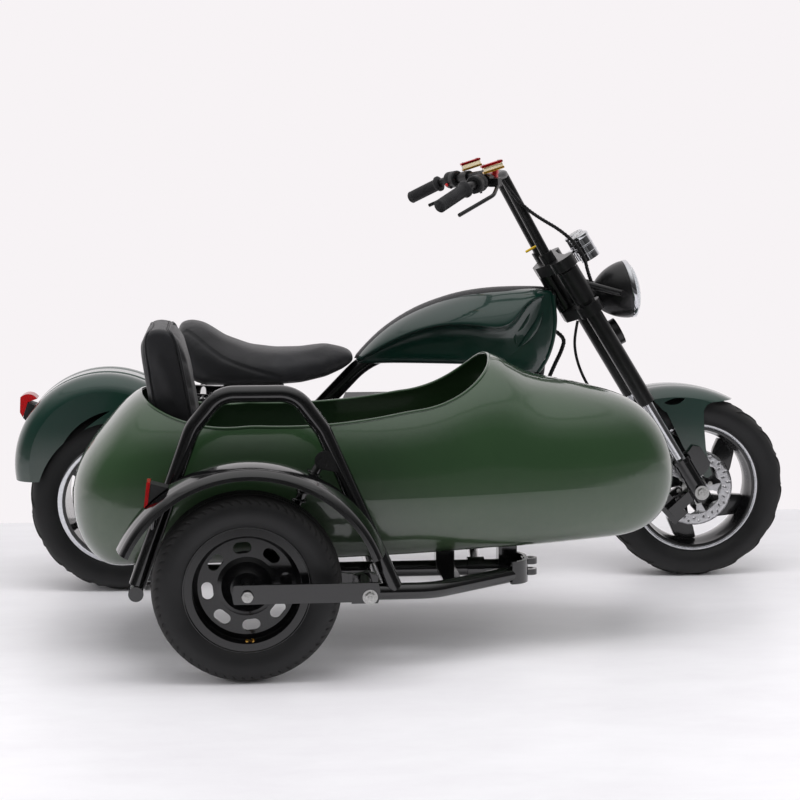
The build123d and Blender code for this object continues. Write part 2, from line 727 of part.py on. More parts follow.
def swing_arm():
    """Twin-sided arm from the pivot to the rear axle, with a cross brace ahead of the tyre."""
    arm = rod((PIVOT[0], -SWING_Y - 20, PIVOT[2]), (PIVOT[0], SWING_Y + 20, PIVOT[2]), 10)
    for side in (1, -1):
        y = side * SWING_Y
        arm = arm + rod((PIVOT[0], y, PIVOT[2]), (40, y, REAR_R + 4), 16)
        plate = outline((-34, REAR_R - 20), (60, REAR_R - 22), (70, REAR_R + 50), (34, REAR_R + 58), (-34, REAR_R + 20))
        low, high = sorted((side * (SWING_Y - 6), side * (SWING_Y + 6)))
        arm = arm + side_plate(plate, low, high)
        boss_y = side * (CRADLE_Y + 14)
        arm = arm + rod((PIVOT[0], boss_y, PIVOT[2]), (PIVOT[0], y + side * 18, PIVOT[2]), 22)
    arm = arm + rod((330, -SWING_Y, 257), (330, SWING_Y, 257), 16)
    return arm - rod(REAR_AXLE + Vector(0, -200, 0), REAR_AXLE + Vector(0, 200, 0), AXLE_R + RUN_GAP)


REAR_AXLE_HALF = SWING_Y + 6 + SEAT_GAP


def rear_axle():
    solid = through_axle(REAR_AXLE, -REAR_AXLE_HALF, REAR_AXLE_HALF)
    for side in (1, -1):
        inner = REAR_MOTOR_HALF + 5
        solid = solid + rod(
            REAR_AXLE + Vector(0, side * inner, 0),
            REAR_AXLE + Vector(0, side * (SWING_Y - 6 - SEAT_GAP), 0),
            14,
        )
    return solid


def coil_over(top, low, body_r=14.0, coil_r=22.0, turns=7):
    """A shock absorber: rod and body, with a stack of rings standing for the coil's turns."""
    top, low = Vector(*top), Vector(*low)
    axis = low - top
    solid = rod(top, low, 7) + rod(top + axis * 0.12, top + axis * 0.62, body_r)
    for share in (0.13, 0.84):
        solid = solid + rod(top + axis * (share - 0.012), top + axis * (share + 0.012), coil_r + 1)
    for index in range(turns):
        share = 0.19 + 0.59 * index / (turns - 1)
        solid = solid + rod(top + axis * (share - 0.018), top + axis * (share + 0.018), coil_r)
    return solid


def rear_shocks():
    def shock(side):
        top, low = mirrored(SHOCK_TOP, side), mirrored(SHOCK_LOW, side)
        solid = coil_over(top, low)
        for point in (top, low):
            solid = solid + rod((point[0], point[1] - 12, point[2]), (point[0], point[1] + 12, point[2]), 13)
        return solid

    return compound(both_sides(shock))


def battery_box():
    """The battery as one plain block in its box between the cradle tubes and the backbone."""
    face = outline((560, BATTERY_LOW), (948, BATTERY_LOW), (1000, 330), (960, 500), (600, 500), (530, 330))
    return side_plate(face, -78, 78)


def footboards():
    """A footboard each side on a stay from the cradle."""

    def board(side):
        plate = outline((690, 268), (900, 268), ((950, 276), (985, 306)), (979, 311), ((945, 284), (900, 276)), (690, 276))
        low, high = sorted((side * 96, side * 186))
        solid = side_plate(plate, low, high)
        for x in (730, 880):
            solid = solid + rod((x, side * CRADLE_Y, CRADLE_Z + 4), (x, side * 150, 262), 9)
            solid = solid + rod((x, side * 150, 250), (x, side * 150, 268), 9)
        return solid - rod((600, side * CRADLE_Y, CRADLE_Z), (990, side * CRADLE_Y, CRADLE_Z), FRAME_TUBE_R + SEAT_GAP)

    return compound(both_sides(board))


# ---- bike bodywork -------------------------------------------------------------------------------
def tank_section(x, crest, flare_z, flare_half, low_z, low_half):
    """A slice of the tank: domed top, flared lower edge, narrow under-body."""
    plane = Plane(origin=(x, 0, 0), x_dir=(0, 1, 0), z_dir=(1, 0, 0))
    face = outline(
        (-low_half, low_z),
        (low_half, low_z),
        (low_half + 2, flare_z - 5),
        (flare_half, flare_z),
        ((0, crest), (-flare_half, flare_z)),
        (-low_half - 2, flare_z - 5),
    )
    return plane * face


# columns: x, crest height, flare height, flare half-width, underside height, underside half-width
TANK_SECTIONS = [
    (620, 607, 592, 34, 579, 26),
    (680, 650, 636, 66, 596, 42),
    (760, 706, 681, 90, 603, 52),
    (850, 748, 704, 106, 600, 58),
    (940, 774, 700, 114, 592, 60),
    (1010, 785, 692, 112, 590, 60),
]


def backbone_way(extra):
    """The room that the backbone and the head tube take inside the tank and the shield."""
    way = bent_bar(BACKBONE_PATH, BACKBONE_BENDS, BACKBONE_R + extra)
    return way + rod(fork_point(HEAD_LOW - 3, 0, STEER_OFFSET), fork_point(HEAD_HIGH + 3, 0, STEER_OFFSET), HEAD_R + extra)


def tank_cover():
    """The dummy tank over the backbone."""
    solid = loft([tank_section(*row) for row in TANK_SECTIONS])
    return solid - backbone_way(SEAT_GAP + 1)


# columns: upper end, lower end, bulge of the slot's middle, all as (x, z)
LOUVRES = [
    ((1119, 728), (1054, 632), (10, -6)),
    ((1084, 726), (1049, 673), (7, -4)),
    ((1030, 688), (1048, 640), (8, 3)),
]
SHIELD_HALF, LOUVRE_DEEP = 58.0, 7.0


def louvre(upper, lower, bulge):
    """A lens-shaped slot's outline between two points."""
    x, z = (upper[0] + lower[0]) / 2, (upper[1] + lower[1]) / 2
    return outline(upper, ((x + bulge[0], z + bulge[1]), lower), ((x - bulge[0] / 4, z - bulge[1] / 4), upper))


def leg_shield():
    """The deep nose panel under the front of the tank, with three slanted louvres a side."""
    rear = TANK_SECTIONS[-1][0] + SEAT_GAP
    face = outline(
        (rear, 592),
        (rear, 560),
        (1106, 560),
        ((1138, 616), (1154, 690)),
        (1148, 730),
        (1108, 784),
        (rear, 784),
    )
    solid = side_plate(face, -SHIELD_HALF, SHIELD_HALF)
    for row in LOUVRES:
        for side in (1, -1):
            low, high = sorted((side * (SHIELD_HALF - LOUVRE_DEEP), side * (SHIELD_HALF + 1)))
            solid = solid - side_plate(louvre(*row), low, high)
    return solid - backbone_way(SEAT_GAP + 1) - down_tubes(SEAT_GAP)


# the wrapped loom from the nose panel down to the battery's front
FRAME_LOOM_R = 7.0
FRAME_LOOM = [
    (1155.6, 12, 673.6),
    (1193, 12, 654),
    (1184, 14, 616),
    (1166, 14, 580),
    (1140, 12, 520),
    (1096, 10, 452),
    (1038, 8, 410.6),
    (984.5, 8, 398),
]

REAR_FENDER_C = (-35.0, 338.0)
REAR_FENDER_R, CREST_RISE = 232.0, 8.0
REAR_FENDER_HALF = 128.0


def rear_fender():
    """A deep round guard over the wide tyre: crowned top, raised crest, skirts and curved vents."""
    centre = Vector(REAR_FENDER_C[0], 0, REAR_FENDER_C[1])
    half, wall = REAR_FENDER_HALF, FENDER_WALL
    shell = outline(
        (80, half),
        (REAR_FENDER_R - 34, half),
        ((REAR_FENDER_R - 10, half - 14), (REAR_FENDER_R, 40)),
        (REAR_FENDER_R + CREST_RISE, 28),
        (REAR_FENDER_R + CREST_RISE, -28),
        (REAR_FENDER_R, -40),
        ((REAR_FENDER_R - 10, -half + 14), (REAR_FENDER_R - 34, -half)),
        (80, -half),
        (80, -half + wall),
        (REAR_FENDER_R - 35, -half + wall),
        ((REAR_FENDER_R - 13, -half + 17), (REAR_FENDER_R - wall, -40)),
        (REAR_FENDER_R - wall, 40),
        ((REAR_FENDER_R - 13, half - 17), (REAR_FENDER_R - 35, half - wall)),
        (80, half - wall),
    )
    solid = spun(centre, shell)
    keep = outline((-400, 301), (-180, 301), (150, 400), (150, 640), (-400, 640))
    solid = solid & side_plate(keep, -200, 200)
    arch = rod(REAR_AXLE + Vector(0, -200, 0), REAR_AXLE + Vector(0, 200, 0), 218)
    solid = solid - arch
    slot = outline((-150, 392), ((-100, 452), (-20, 486)), ((-92, 436), (-144, 386)))
    solid = solid - side_plate(slot, -200, 200)
    room_y = RAIL_Y + FRAME_TUBE_R + SEAT_GAP
    rail_room = block((90, -room_y, 496), (200, room_y, 640))
    return solid - rail_room


def fender_drum():
    """The rear fender's outer round, a seat gap larger, for cutting what sits on it."""
    x, z = REAR_FENDER_C
    return rod((x, -200, z), (x, 200, z), REAR_FENDER_R + CREST_RISE + SEAT_GAP)


def tail_lamp():
    """The tail lamp's housing on the fender, with the plate's stay below it."""
    face = outline((-243, 496), (-214, 486), (-222, 452), (-240, 440), (-256, 456))
    return side_plate(face, -30, 30) - fender_drum()


def tail_lens():
    face = outline((-262, 510), ((-236, 518), (-218, 506)), (-243, 497), (-257, 457), (-264, 470))
    return side_plate(face, -26, 26) - fender_drum()


def rear_reflector():
    """The round reflector at the fender's foot."""
    return rod((TAIL_X, 0, 322), (TAIL_X + 16, 0, 324), 17) - fender_drum()


# ---- seats ---------------------------------------------------------------------------------------
def egg_section(x, y, half, top, bottom, wide, upper_full, lower_full):
    """A closed slice of four smooth quarters about its widest line; 0.55 is round, 1 is square."""
    plane = Plane(origin=(x, y, 0), x_dir=(0, 1, 0), z_dir=(1, 0, 0))
    quarters = []
    corners = [(half, top, upper_full), (-half, top, upper_full), (-half, bottom, lower_full), (half, bottom, lower_full)]
    for index, (side, level, full) in enumerate(corners):
        ordered = [(side, wide), (side, wide + (level - wide) * full), (side * full, level), (0, level)]
        if index in (1, 3):
            ordered.reverse()
        quarters.append(Edge.make_bezier(*ordered))
    return plane * Face(Wire(quarters))


# columns: x, half-width, top, underside, height of the widest line
SADDLE_SECTIONS = [
    (152, 96, 700, 596, 640),
    (190, 132, 716, 548, 610),
    (290, 144, 660, 536, 580),
    (400, 140, 632, 536, 576),
    (520, 104, 642, 552, 590),
    (590, 66, 646, 580, 612),
    (618, 40, 622, 596, 609),
]


def saddle():
    """The rider's seat, as one plain closed form, flat where it rests."""
    form = loft(
        [
            egg_section(x, 0, half, top, low, wide, 0.6, 0.75)
            for x, half, top, low, wide in SADDLE_SECTIONS
        ]
    )
    return form - block((0, -300, 400), (700, 300, SADDLE_FLOOR))


# ---- sidecar body --------------------------------------------------------------------------------
# columns: x, half-width, top, bottom, height of the widest line
HULL_SECTIONS = [
    (-84, 30, 374, 338, 356),
    (-74, 92, 414, 296, 356),
    (-48, 150, 470, 240, 356),
    (0, 194, 532, 201, 357),
    (60, 218, 592, 199, 360),
    (220, 236, 622, 202, 366),
    (500, 240, 624, 208, 372),
    (780, 238, 648, 219, 378),
    (905, 232, 678, 226, 382),
    (975, 226, 642, 229, 384),
    (1060, 214, 618, 234, 386),
    (1160, 186, 596, 240, 388),
    (1250, 146, 561, 252, 390),
    (1310, 100, 503, 292, 390),
    (1339, 50, 434, 350, 390),
    (1347, 16, 404, 378, 390),
]
UPPER_FULL, LOWER_FULL = 0.68, 0.80


def hull_section(x, half, top, bottom, wide, inset=0.0):
    """A slice of the hull, fuller below than above."""
    return egg_section(
        x, BODY_Y, half - inset, top - inset, bottom + inset, wide, UPPER_FULL, LOWER_FULL
    )


# side view of the cockpit's rim: from the tail peak along the side to the cowl's lip
RIM_LINE = [
    (-200, 800),
    (40, 700),
    (66, 608),
    ((160, 556), (330, 539)),
    ((520, 541), (700, 566)),
    ((830, 611), (904, 688)),
    (908, 800),
]


def hull(inset):
    """The closed hull, shrunk by a wall all round."""
    slices = []
    for index, row in enumerate(HULL_SECTIONS):
        shift = inset if index == 0 else -inset if index == len(HULL_SECTIONS) - 1 else 0.0
        slices.append(hull_section(row[0] + shift, *row[1:], inset=inset))
    return loft(slices)


def sidecar_shell():
    """The torpedo body: a hollow hull cut open along the cockpit's rim."""
    outer = hull(0.0)
    inner = hull(BODY_WALL)
    cut = side_plate(outline(*RIM_LINE), BODY_Y - 300, BODY_Y + 300)
    return outer - inner - cut


BENCH_TOP, BENCH_FRONT, BENCH_REAR = 318.0, 560.0, 120.0


def sidecar_bench():
    """The seat box moulded across the hull."""
    room = hull(BODY_WALL + SEAT_GAP)
    slab = block((BENCH_REAR, BODY_Y - 300, BENCH_TOP - 6), (BENCH_FRONT, BODY_Y + 300, BENCH_TOP))
    riser = block((BENCH_FRONT - 6, BODY_Y - 300, 150), (BENCH_FRONT, BODY_Y + 300, BENCH_TOP))
    return (slab + riser) & room


SEAT_HALF = 176.0


def sidecar_seat():
    """The passenger's seat cushion on the bench."""
    low = BENCH_TOP + SEAT_GAP
    face = outline((232, low), (548, low), (560, low + 30), (540, low + 78), (250, low + 66), (226, low + 50))
    return side_plate(face, BODY_Y - SEAT_HALF, BODY_Y + SEAT_HALF)


def sidecar_backrest():
    """The passenger's boxed backrest, leaning back from the cushion."""
    low = BENCH_TOP + SEAT_GAP
    face = outline((128, low), (220, low), (222, low + 60), (206, 560), (172, 730), ((150, 764), (116, 768)), ((90, 760), (84, 738)), (112, 580))
    return side_plate(face, BODY_Y - 132, BODY_Y + 132)


# ---- sidecar chassis -----------------------------------------------------------------------------
FAR_RAIL_Y = -640.0
NEAR_RAIL_X = 556.0
CROSS_R = 17.0
REAR_CROSS_X, REAR_CROSS_Z = 72.0, 180.5
MID_CROSS_X = 620.0
INNER_Y = -330.0
NOSE_X, NOSE_Y = 970.0, -682.0  # middle of the curved plate that closes the chassis nose
NOSE_LOW, NOSE_HIGH = 149.0, 203.0
CLEVIS_X, CLEVIS_PIN_R, CLEVIS_EAR_R = 991.0, 8.0, 16.0
CLEVIS_LOW, CLEVIS_EAR, CLEVIS_GAP = 161.0, 14.0, 12.0
PADS = [300, 790, 940]
CAR_PIVOT = (582.0, 0.0, 203.0)
CAR_INNER_ARM_Y = -884.0
CAR_SHOCK_Y = -864.0
CAR_FENDER = (325.0, 168.0, 289.0, 306.0)  # centre x and z, edge radius, shoulder radius
CAR_FENDER_Y, CAR_FENDER_HALF = -958.0, 71.0
HOOP_LINE = [(74, 196), (201, 548), (262, 624), (430, 624), (492, 540), (652, 176)]
HOOP_BENDS = [100, 70, 70, 100]


def chassis_nose():
    """The curved plate across the rails' front ends, with the two ears of the clevis."""
    plate = outline(
        (940, NOSE_Y - 58),
        ((974, NOSE_Y - 40), (982, NOSE_Y)),
        ((978, NOSE_Y + 42), (956, NOSE_Y + 65)),
        (948, NOSE_Y + 59),
        ((969, NOSE_Y + 39), (973, NOSE_Y)),
        ((966, NOSE_Y - 35), (936, NOSE_Y - 50)),
    )
    nose = flat_plate(plate, NOSE_LOW, NOSE_HIGH)
    ear = outline(
        (NOSE_X, NOSE_Y - CLEVIS_EAR_R),
        (CLEVIS_X, NOSE_Y - CLEVIS_EAR_R),
        ((CLEVIS_X + CLEVIS_EAR_R, NOSE_Y), (CLEVIS_X, NOSE_Y + CLEVIS_EAR_R)),
        (NOSE_X, NOSE_Y + CLEVIS_EAR_R),
    )
    for level in (CLEVIS_LOW, CLEVIS_LOW + CLEVIS_EAR + CLEVIS_GAP):
        nose = nose + flat_plate(ear, level, level + CLEVIS_EAR)
    return nose - rod((CLEVIS_X, NOSE_Y, NOSE_LOW), (CLEVIS_X, NOSE_Y, NOSE_HIGH), CLEVIS_PIN_R)


def sidecar_frame():
    """The flat tube chassis under the body, with its cross tubes, pads and the nose clevis."""
    z = CHASSIS_Z
    near = [(NEAR_RAIL_X, HOOP_Y, z), (740, HOOP_Y, z), (958, NOSE_Y - 26, z)]
    frame = bent_bar(near, [120], CHASSIS_TUBE_R)
    frame = frame + rod((REAR_CROSS_X, FAR_RAIL_Y, z), (966, FAR_RAIL_Y, z), CHASSIS_TUBE_R)
    frame = frame + rod((MID_CROSS_X, HOOP_Y, z), (MID_CROSS_X, INNER_Y, z), CROSS_R)
    frame = frame + rod((REAR_CROSS_X, HOOP_Y - 25, REAR_CROSS_Z), (REAR_CROSS_X, INNER_Y, REAR_CROSS_Z), CROSS_R)
    frame = frame + block((768, -812, z + 4), (812, FAR_RAIL_Y, z + 12))
    skin = hull(-SEAT_GAP)
    for x in PADS:
        pad = block((x - 22, FAR_RAIL_Y - 22, z), (x + 22, FAR_RAIL_Y + 22, z + 80))
        frame = frame + max((pad - skin).solids(), key=lambda piece: piece.volume)
    frame = frame + chassis_nose()
    lug = outline((552, 150), (612, 150), (612, 212), (590, 222), (560, 214))
    frame = frame + side_plate(lug, HOOP_Y - 30, HOOP_Y - 6)
    inner_lug = outline((508, 160), (578, 160), (578, 206), (552, 214), (508, 214))
    frame = frame + side_plate(inner_lug, HOOP_Y - 6, HOOP_Y + 6)
    pivot = rod((CAR_PIVOT[0], -1100, CAR_PIVOT[2]), (CAR_PIVOT[0], HOOP_Y, CAR_PIVOT[2]), 9 + RUN_GAP)
    inner_pin = rod((530, HOOP_Y - 40, 198), (530, HOOP_Y + 40, 198), 8 + RUN_GAP)
    return frame - pivot - inner_pin


def hoop_points():
    """The guard hoop's centre line, from its rear foot over the top to its front foot."""
    return [(x, HOOP_Y, z) for x, z in HOOP_LINE]


def sidecar_hoop():
    """The guard hoop of one bent tube, standing on the chassis."""
    hoop = bent_bar(hoop_points(), HOOP_BENDS, HOOP_TUBE_R)
    ear = outline((480, 456), (524, 448), (514, 486), ((474, 484), (480, 456)))
    ear_y = CAR_SHOCK_Y - 16 - SEAT_GAP
    hoop = hoop + side_plate(ear, ear_y - 6, ear_y)
    hoop = hoop + rod((488, ear_y - 14, 470), (488, ear_y, 470), 11)
    frame_room = rod(
        (MID_CROSS_X, HOOP_Y - 60, CHASSIS_Z), (MID_CROSS_X, HOOP_Y + 60, CHASSIS_Z), CHASSIS_TUBE_R + SEAT_GAP
    )
    rail_room = rod((NEAR_RAIL_X, HOOP_Y, CHASSIS_Z), (740, HOOP_Y, CHASSIS_Z), CHASSIS_TUBE_R + SEAT_GAP)
    cross_room = rod(
        (REAR_CROSS_X, HOOP_Y - 60, REAR_CROSS_Z), (REAR_CROSS_X, INNER_Y, REAR_CROSS_Z), CROSS_R + SEAT_GAP
    )
    hoop = hoop - frame_room - rail_room - cross_room
    return max(hoop.solids(), key=lambda piece: piece.volume)


def sidecar_fender():
    """A cycle-type guard: crowned top with a turned-down edge each side, on two stays."""
    x, z, low_r, high_r = CAR_FENDER
    centre = Vector(x, CAR_FENDER_Y, z)
    half, wall = CAR_FENDER_HALF, FENDER_WALL
    shell = outline(
        (low_r, half),
        (high_r - 8, half),
        ((high_r + 1, half - 8), (high_r + 6, half - 20)),
        ((high_r + 14, 0), (high_r + 6, -half + 20)),
        ((high_r + 1, -half + 8), (high_r - 8, -half)),
        (low_r, -half),
        (low_r, -half + wall),
        (high_r - 12, -half + wall),
        (high_r + 2, -half + 22),
        ((high_r + 10, 0), (high_r + 2, half - 22)),
        (high_r - 12, half - wall),
        (low_r, half - wall),
    )
    solid = spun(centre, shell)
    keep = outline((-60, 346), (x, z), (700, 315), (700, 700), (-60, 700))
    solid = (solid & side_plate(keep, -1100, -800)) + fender_stays()
    hoop_room = bent_bar(hoop_points(), HOOP_BENDS, HOOP_TUBE_R + SEAT_GAP)
    solid = solid - hoop_room
    return max(solid.solids(), key=lambda piece: piece.volume)


def fender_stays():
    """Stays that carry the sidecar fender from the hoop's legs."""
    y = CAR_FENDER_Y + 48
    return rod((108, HOOP_Y, 300), (124, y, 398), 6) + rod((566, HOOP_Y, 372), (521, y, 400), 6)


def sidecar_lamp():
    """The side lamp's black housing on the fender's rear slope."""
    y = CAR_WHEEL_Y - 10
    face = outline((112, 446), (150, 436), (176, 414), (150, 380), (104, 388))
    return side_plate(face, y - 22, y + 22) - car_fender_drum()


def sidecar_lamp_lens():
    y = CAR_WHEEL_Y - 10
    face = outline((111.7, 449), (103.7, 385), (96, 386), (104, 450))
    return side_plate(face, y - 24, y + 24) - car_fender_drum()


def car_fender_drum():
    x, z, low_r, high_r = CAR_FENDER
    return rod((x, -1100, z), (x, -800, z), high_r + 14 + SEAT_GAP)


def sidecar_swing_arm():
    """The flat trailing arm outside the wheel, with its pivot pin through the chassis lug."""
    inner = ARM_OUT_Y + 8
    arm = outline((289, 192), (600, 192), ((604, 213), (600, 234)), (289, 234), ((285, 213), (289, 192)))
    solid = side_plate(arm, ARM_OUT_Y, inner)
    pin = rod((CAR_PIVOT[0], ARM_OUT_Y - BOLT_HEAD + 3, CAR_PIVOT[2]), (CAR_PIVOT[0], HOOP_Y - 4, CAR_PIVOT[2]), 9)
    sleeve = rod((CAR_PIVOT[0], inner, CAR_PIVOT[2]), (CAR_PIVOT[0], HOOP_Y - 30 - SEAT_GAP, CAR_PIVOT[2]), 16)
    solid = solid + pin + sleeve
    return solid - rod(CAR_AXLE + Vector(0, -200, 0), CAR_AXLE + Vector(0, 200, 0), AXLE_R + RUN_GAP)


def sidecar_axle():
    """The stub axle from the outer arm through the wheel to the inner arm."""
    low = ARM_OUT_Y - CAR_WHEEL_Y
    high = CAR_INNER_ARM_Y + 8 - CAR_WHEEL_Y
    solid = through_axle(CAR_AXLE, low - SEAT_GAP, high + SEAT_GAP)
    for start, end in ((low + 8 + SEAT_GAP, -CAR_HUB_HALF - 3), (35, high - 8 - SEAT_GAP)):
        solid = solid + rod(CAR_AXLE + Vector(0, start, 0), CAR_AXLE + Vector(0, end, 0), 13)
    return solid


def sidecar_inner_arm():
    """The trailing arm inside the wheel, carrying the shock's lower eye."""
    y = CAR_INNER_ARM_Y
    arm = outline((292, 196), (546, 180), (546, 216), (400, 246), (376, 280), (350, 276), (300, 246))
    solid = side_plate(arm, y, y + 8)
    pin = rod((530, y + 4, 198), (530, HOOP_Y + 12, 198), 8)
    solid = solid + pin
    return solid - rod(CAR_AXLE + Vector(0, -200, 0), CAR_AXLE + Vector(0, 200, 0), AXLE_R + RUN_GAP)


def sidecar_shock():
    """The coil-over between the hoop's ear and the inner arm."""
    y = CAR_SHOCK_Y
    solid = coil_over((488, y, 470), (366, y, 262), 11, 18, 8)
    upper = rod((488, y - 16, 470), (488, y + 12, 470), 12)
    lower = rod((366, CAR_INNER_ARM_Y + 8 + SEAT_GAP, 262), (366, y + 12, 262), 12)
    return solid + upper + lower


# columns: where a strut leaves the sidecar chassis, where it meets the bike's frame tube
STRUTS = [
    ((MID_CROSS_X, INNER_Y, CHASSIS_Z), (MID_CROSS_X, -CRADLE_Y, CRADLE_Z)),
    ((REAR_CROSS_X, INNER_Y, REAR_CROSS_Z), (520, -CRADLE_Y, CRADLE_Z)),
    ((865, FAR_RAIL_Y, CHASSIS_Z), (920, -CRADLE_Y, CRADLE_Z)),
]
STRUT_R, CLAMP_WALL, CLAMP_HALF = 13.0, 6.0, 20.0


def clamp(centre, tube_r):
    """A split clamp's ring about a tube that runs fore and aft."""
    x, y, z = centre
    return rod((x - CLAMP_HALF, y, z), (x + CLAMP_HALF, y, z), tube_r + CLAMP_WALL)


def sidecar_struts():
    """The struts that tie the sidecar chassis to the bike, with their clamps and end caps."""
    solid = clamp(STRUTS[2][0], CHASSIS_TUBE_R)
    for start, end in STRUTS:
        solid = solid + rod(start, end, STRUT_R) + clamp(end, FRAME_TUBE_R)
    solid = solid + rod(STRUTS[0][0], mirrored(toward(*UPRIGHT, 0.5), -1), STRUT_R)
    rail = rod((800, FAR_RAIL_Y, CHASSIS_Z), (1000, FAR_RAIL_Y, CHASSIS_Z), CHASSIS_TUBE_R + SEAT_GAP)
    upright = rod(mirrored(UPRIGHT[0], -1), mirrored(UPRIGHT[1], -1), FRAME_TUBE_R + SEAT_GAP)
    for (x, y, z), _ in STRUTS[:2]:
        solid = solid + rod((x, y - 40, z), (x, y + 14, z), CROSS_R + CLAMP_WALL)
    for (x, y, z), _ in STRUTS[:2]:
        solid = solid - rod((x, y - 60, z), (x, y + SEAT_GAP, z), CROSS_R + SEAT_GAP)
    return solid - rail - down_tubes(SEAT_GAP) - upright


NODES = {}


def write(name, solid):
    """Write one node, moved into the outfit's own frame."""
    placed = Location(-ORIGIN) * solid
    placed.label = name
    export_step(placed, f"parts/{name}.step")
    NODES[name] = len(placed.solids())


def main():
    os.makedirs("parts", exist_ok=True)
    write("front_tyre", tyre(FRONT_AXLE, FRONT_R, FRONT_HALF, FRONT_BEAD_R, FRONT_RIM_HALF))
    write("rear_tyre", tyre(REAR_AXLE, REAR_R, REAR_HALF, REAR_BEAD_R, REAR_RIM_HALF))
    write("sidecar_tyre", tyre(CAR_AXLE, CAR_R, CAR_HALF, CAR_BEAD_R, CAR_RIM_HALF))
    write("front_rim", front_rim())
    write("rear_rim", rear_rim())
    write("sidecar_rim", sidecar_rim())
    write("front_disc", brake_disc(FRONT_AXLE, FRONT_DISC_Y, FRONT_DISC_R, 26, 24, 4))
    write("rear_disc", brake_disc(REAR_AXLE, REAR_DISC_Y, REAR_DISC_R, 30, 16, 4))
    write("front_axle", front_axle())
    write("rear_axle", rear_axle())
    write("fork_yokes", fork_yokes())
    write("fork_stanchions", fork_stanchions())
    write("fork_lowers", fork_lowers())
    write("handlebar", handlebar())
    write("grips", grips())
    write("switch_pods", switch_pods())
    write("brake_levers", brake_levers())
    write("master_cylinders", master_cylinders())
    write("gauge_cups", gauge_cups())
    write("headlamp", headlamp() + lamp_arm(1) + lamp_arm(-1))
    write("bar_loom", cable(BAR_LOOM, BAR_LOOM_R))
    write("brake_hose", cable(BRAKE_HOSE, HOSE_R))
    write("frame_loom", cable(FRAME_LOOM, FRAME_LOOM_R))
    write("headlamp_lens", headlamp_lens())
    write("horn", horn())
    write("front_fender", front_fender())
    write("front_caliper", front_caliper())
    write("main_frame", main_frame())
    write("swing_arm", swing_arm())
    write("rear_shocks", rear_shocks())
    write("battery_box", battery_box())
    write("footboards", footboards())
    write("tank_cover", tank_cover())
    write("leg_shield", leg_shield())
    write("rear_fender", rear_fender())
    write("tail_lamp", tail_lamp())
    write("tail_lens", compound(tail_lens(), rear_reflector()))
    write("saddle", saddle())
    write("sidecar_shell", sidecar_shell())
    write("sidecar_bench", sidecar_bench())
    write("sidecar_seat", sidecar_seat())
    write("sidecar_backrest", sidecar_backrest())
    write("sidecar_frame", sidecar_frame())
    write("sidecar_hoop", sidecar_hoop())
    write("sidecar_fender", sidecar_fender())
    write("sidecar_lamp", sidecar_lamp())
    write("sidecar_lamp_lens", sidecar_lamp_lens())
    write("sidecar_swing_arm", compound(sidecar_swing_arm(), sidecar_inner_arm()))
    write("sidecar_axle", sidecar_axle())
    write("sidecar_struts", sidecar_struts())
    write("sidecar_shock", sidecar_shock())
    for name, count in NODES.items():
        print(name, count)


if __name__ == "__main__":
    main()
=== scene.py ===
# %% [markdown]
# A low chopper-style motorcycle with a torpedo sidecar on its right side.
# The engineering model comes in first and stays fixed: it says where every part is. The cells
# after it give those parts their finishes, and swap the plain soft or simplified ones for pieces
# shaped the way the real ones are made.

# %% Load the engineering model
from math import atan2, copysign, cos, pi, radians, sin

import bmesh
import bpy
from mathutils import Matrix, Vector, noise
from mathutils.bvhtree import BVHTree
from mathutils.geometry import intersect_line_line_2d
from mathutils.kdtree import KDTree


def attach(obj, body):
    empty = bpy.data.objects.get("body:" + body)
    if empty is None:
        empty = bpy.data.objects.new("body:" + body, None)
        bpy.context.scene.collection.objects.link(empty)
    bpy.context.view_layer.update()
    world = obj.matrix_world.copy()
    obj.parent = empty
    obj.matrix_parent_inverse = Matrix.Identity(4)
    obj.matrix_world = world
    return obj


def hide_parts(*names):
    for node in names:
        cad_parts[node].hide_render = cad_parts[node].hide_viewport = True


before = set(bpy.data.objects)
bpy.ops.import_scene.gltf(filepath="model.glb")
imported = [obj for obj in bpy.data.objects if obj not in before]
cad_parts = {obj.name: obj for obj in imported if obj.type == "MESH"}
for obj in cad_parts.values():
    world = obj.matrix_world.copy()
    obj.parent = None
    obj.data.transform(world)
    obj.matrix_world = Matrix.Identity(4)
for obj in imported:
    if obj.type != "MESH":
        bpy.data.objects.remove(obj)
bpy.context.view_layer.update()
scene = bpy.context.scene

# %% [markdown]
# A workshop measures such an outfit from the rear axle: forward, left of the bike's middle plane,
# and up from the ground. The model keeps its box centred instead. One short helper turns workshop
# millimetres into model metres, so every size below reads as it would off a tape.

# %% Workshop measurements
BENCH = Vector((-755.5, 344.75, 0.0))
ACROSS = Vector((0, 1, 0))
UP = Vector((0, 0, 1))


def at(x, y, z):
    """A point forward of the rear axle, left of the middle plane and above the ground, in mm."""
    return (Vector((x, y, z)) + BENCH) / 1000


REAR_AXLE = at(0, 0, 238.5)
FRONT_AXLE = at(1542, 0, 245)
CAR_AXLE = at(317.5, -950, 210)
CAR_Y = -595.0
RAKE = radians(31.5)
UP_FORK = Vector((-sin(RAKE), 0, cos(RAKE)))
BEHIND_FORK = Vector((-cos(RAKE), 0, -sin(RAKE)))


def on_fork(up, y=0.0, behind=0.0):
    """A point by its distance up the fork from the front axle and behind the legs."""
    return FRONT_AXLE + (UP_FORK * up + BEHIND_FORK * behind + ACROSS * y) / 1000


print("front axle", tuple(FRONT_AXLE), "bar clamp", tuple(on_fork(735)))

# %% [markdown]
# The camera stands low at the outfit's right rear quarter, with a long lens, so the sidecar's flank
# lies almost square to it. The lens is given in millimetres on a 36 mm sensor.

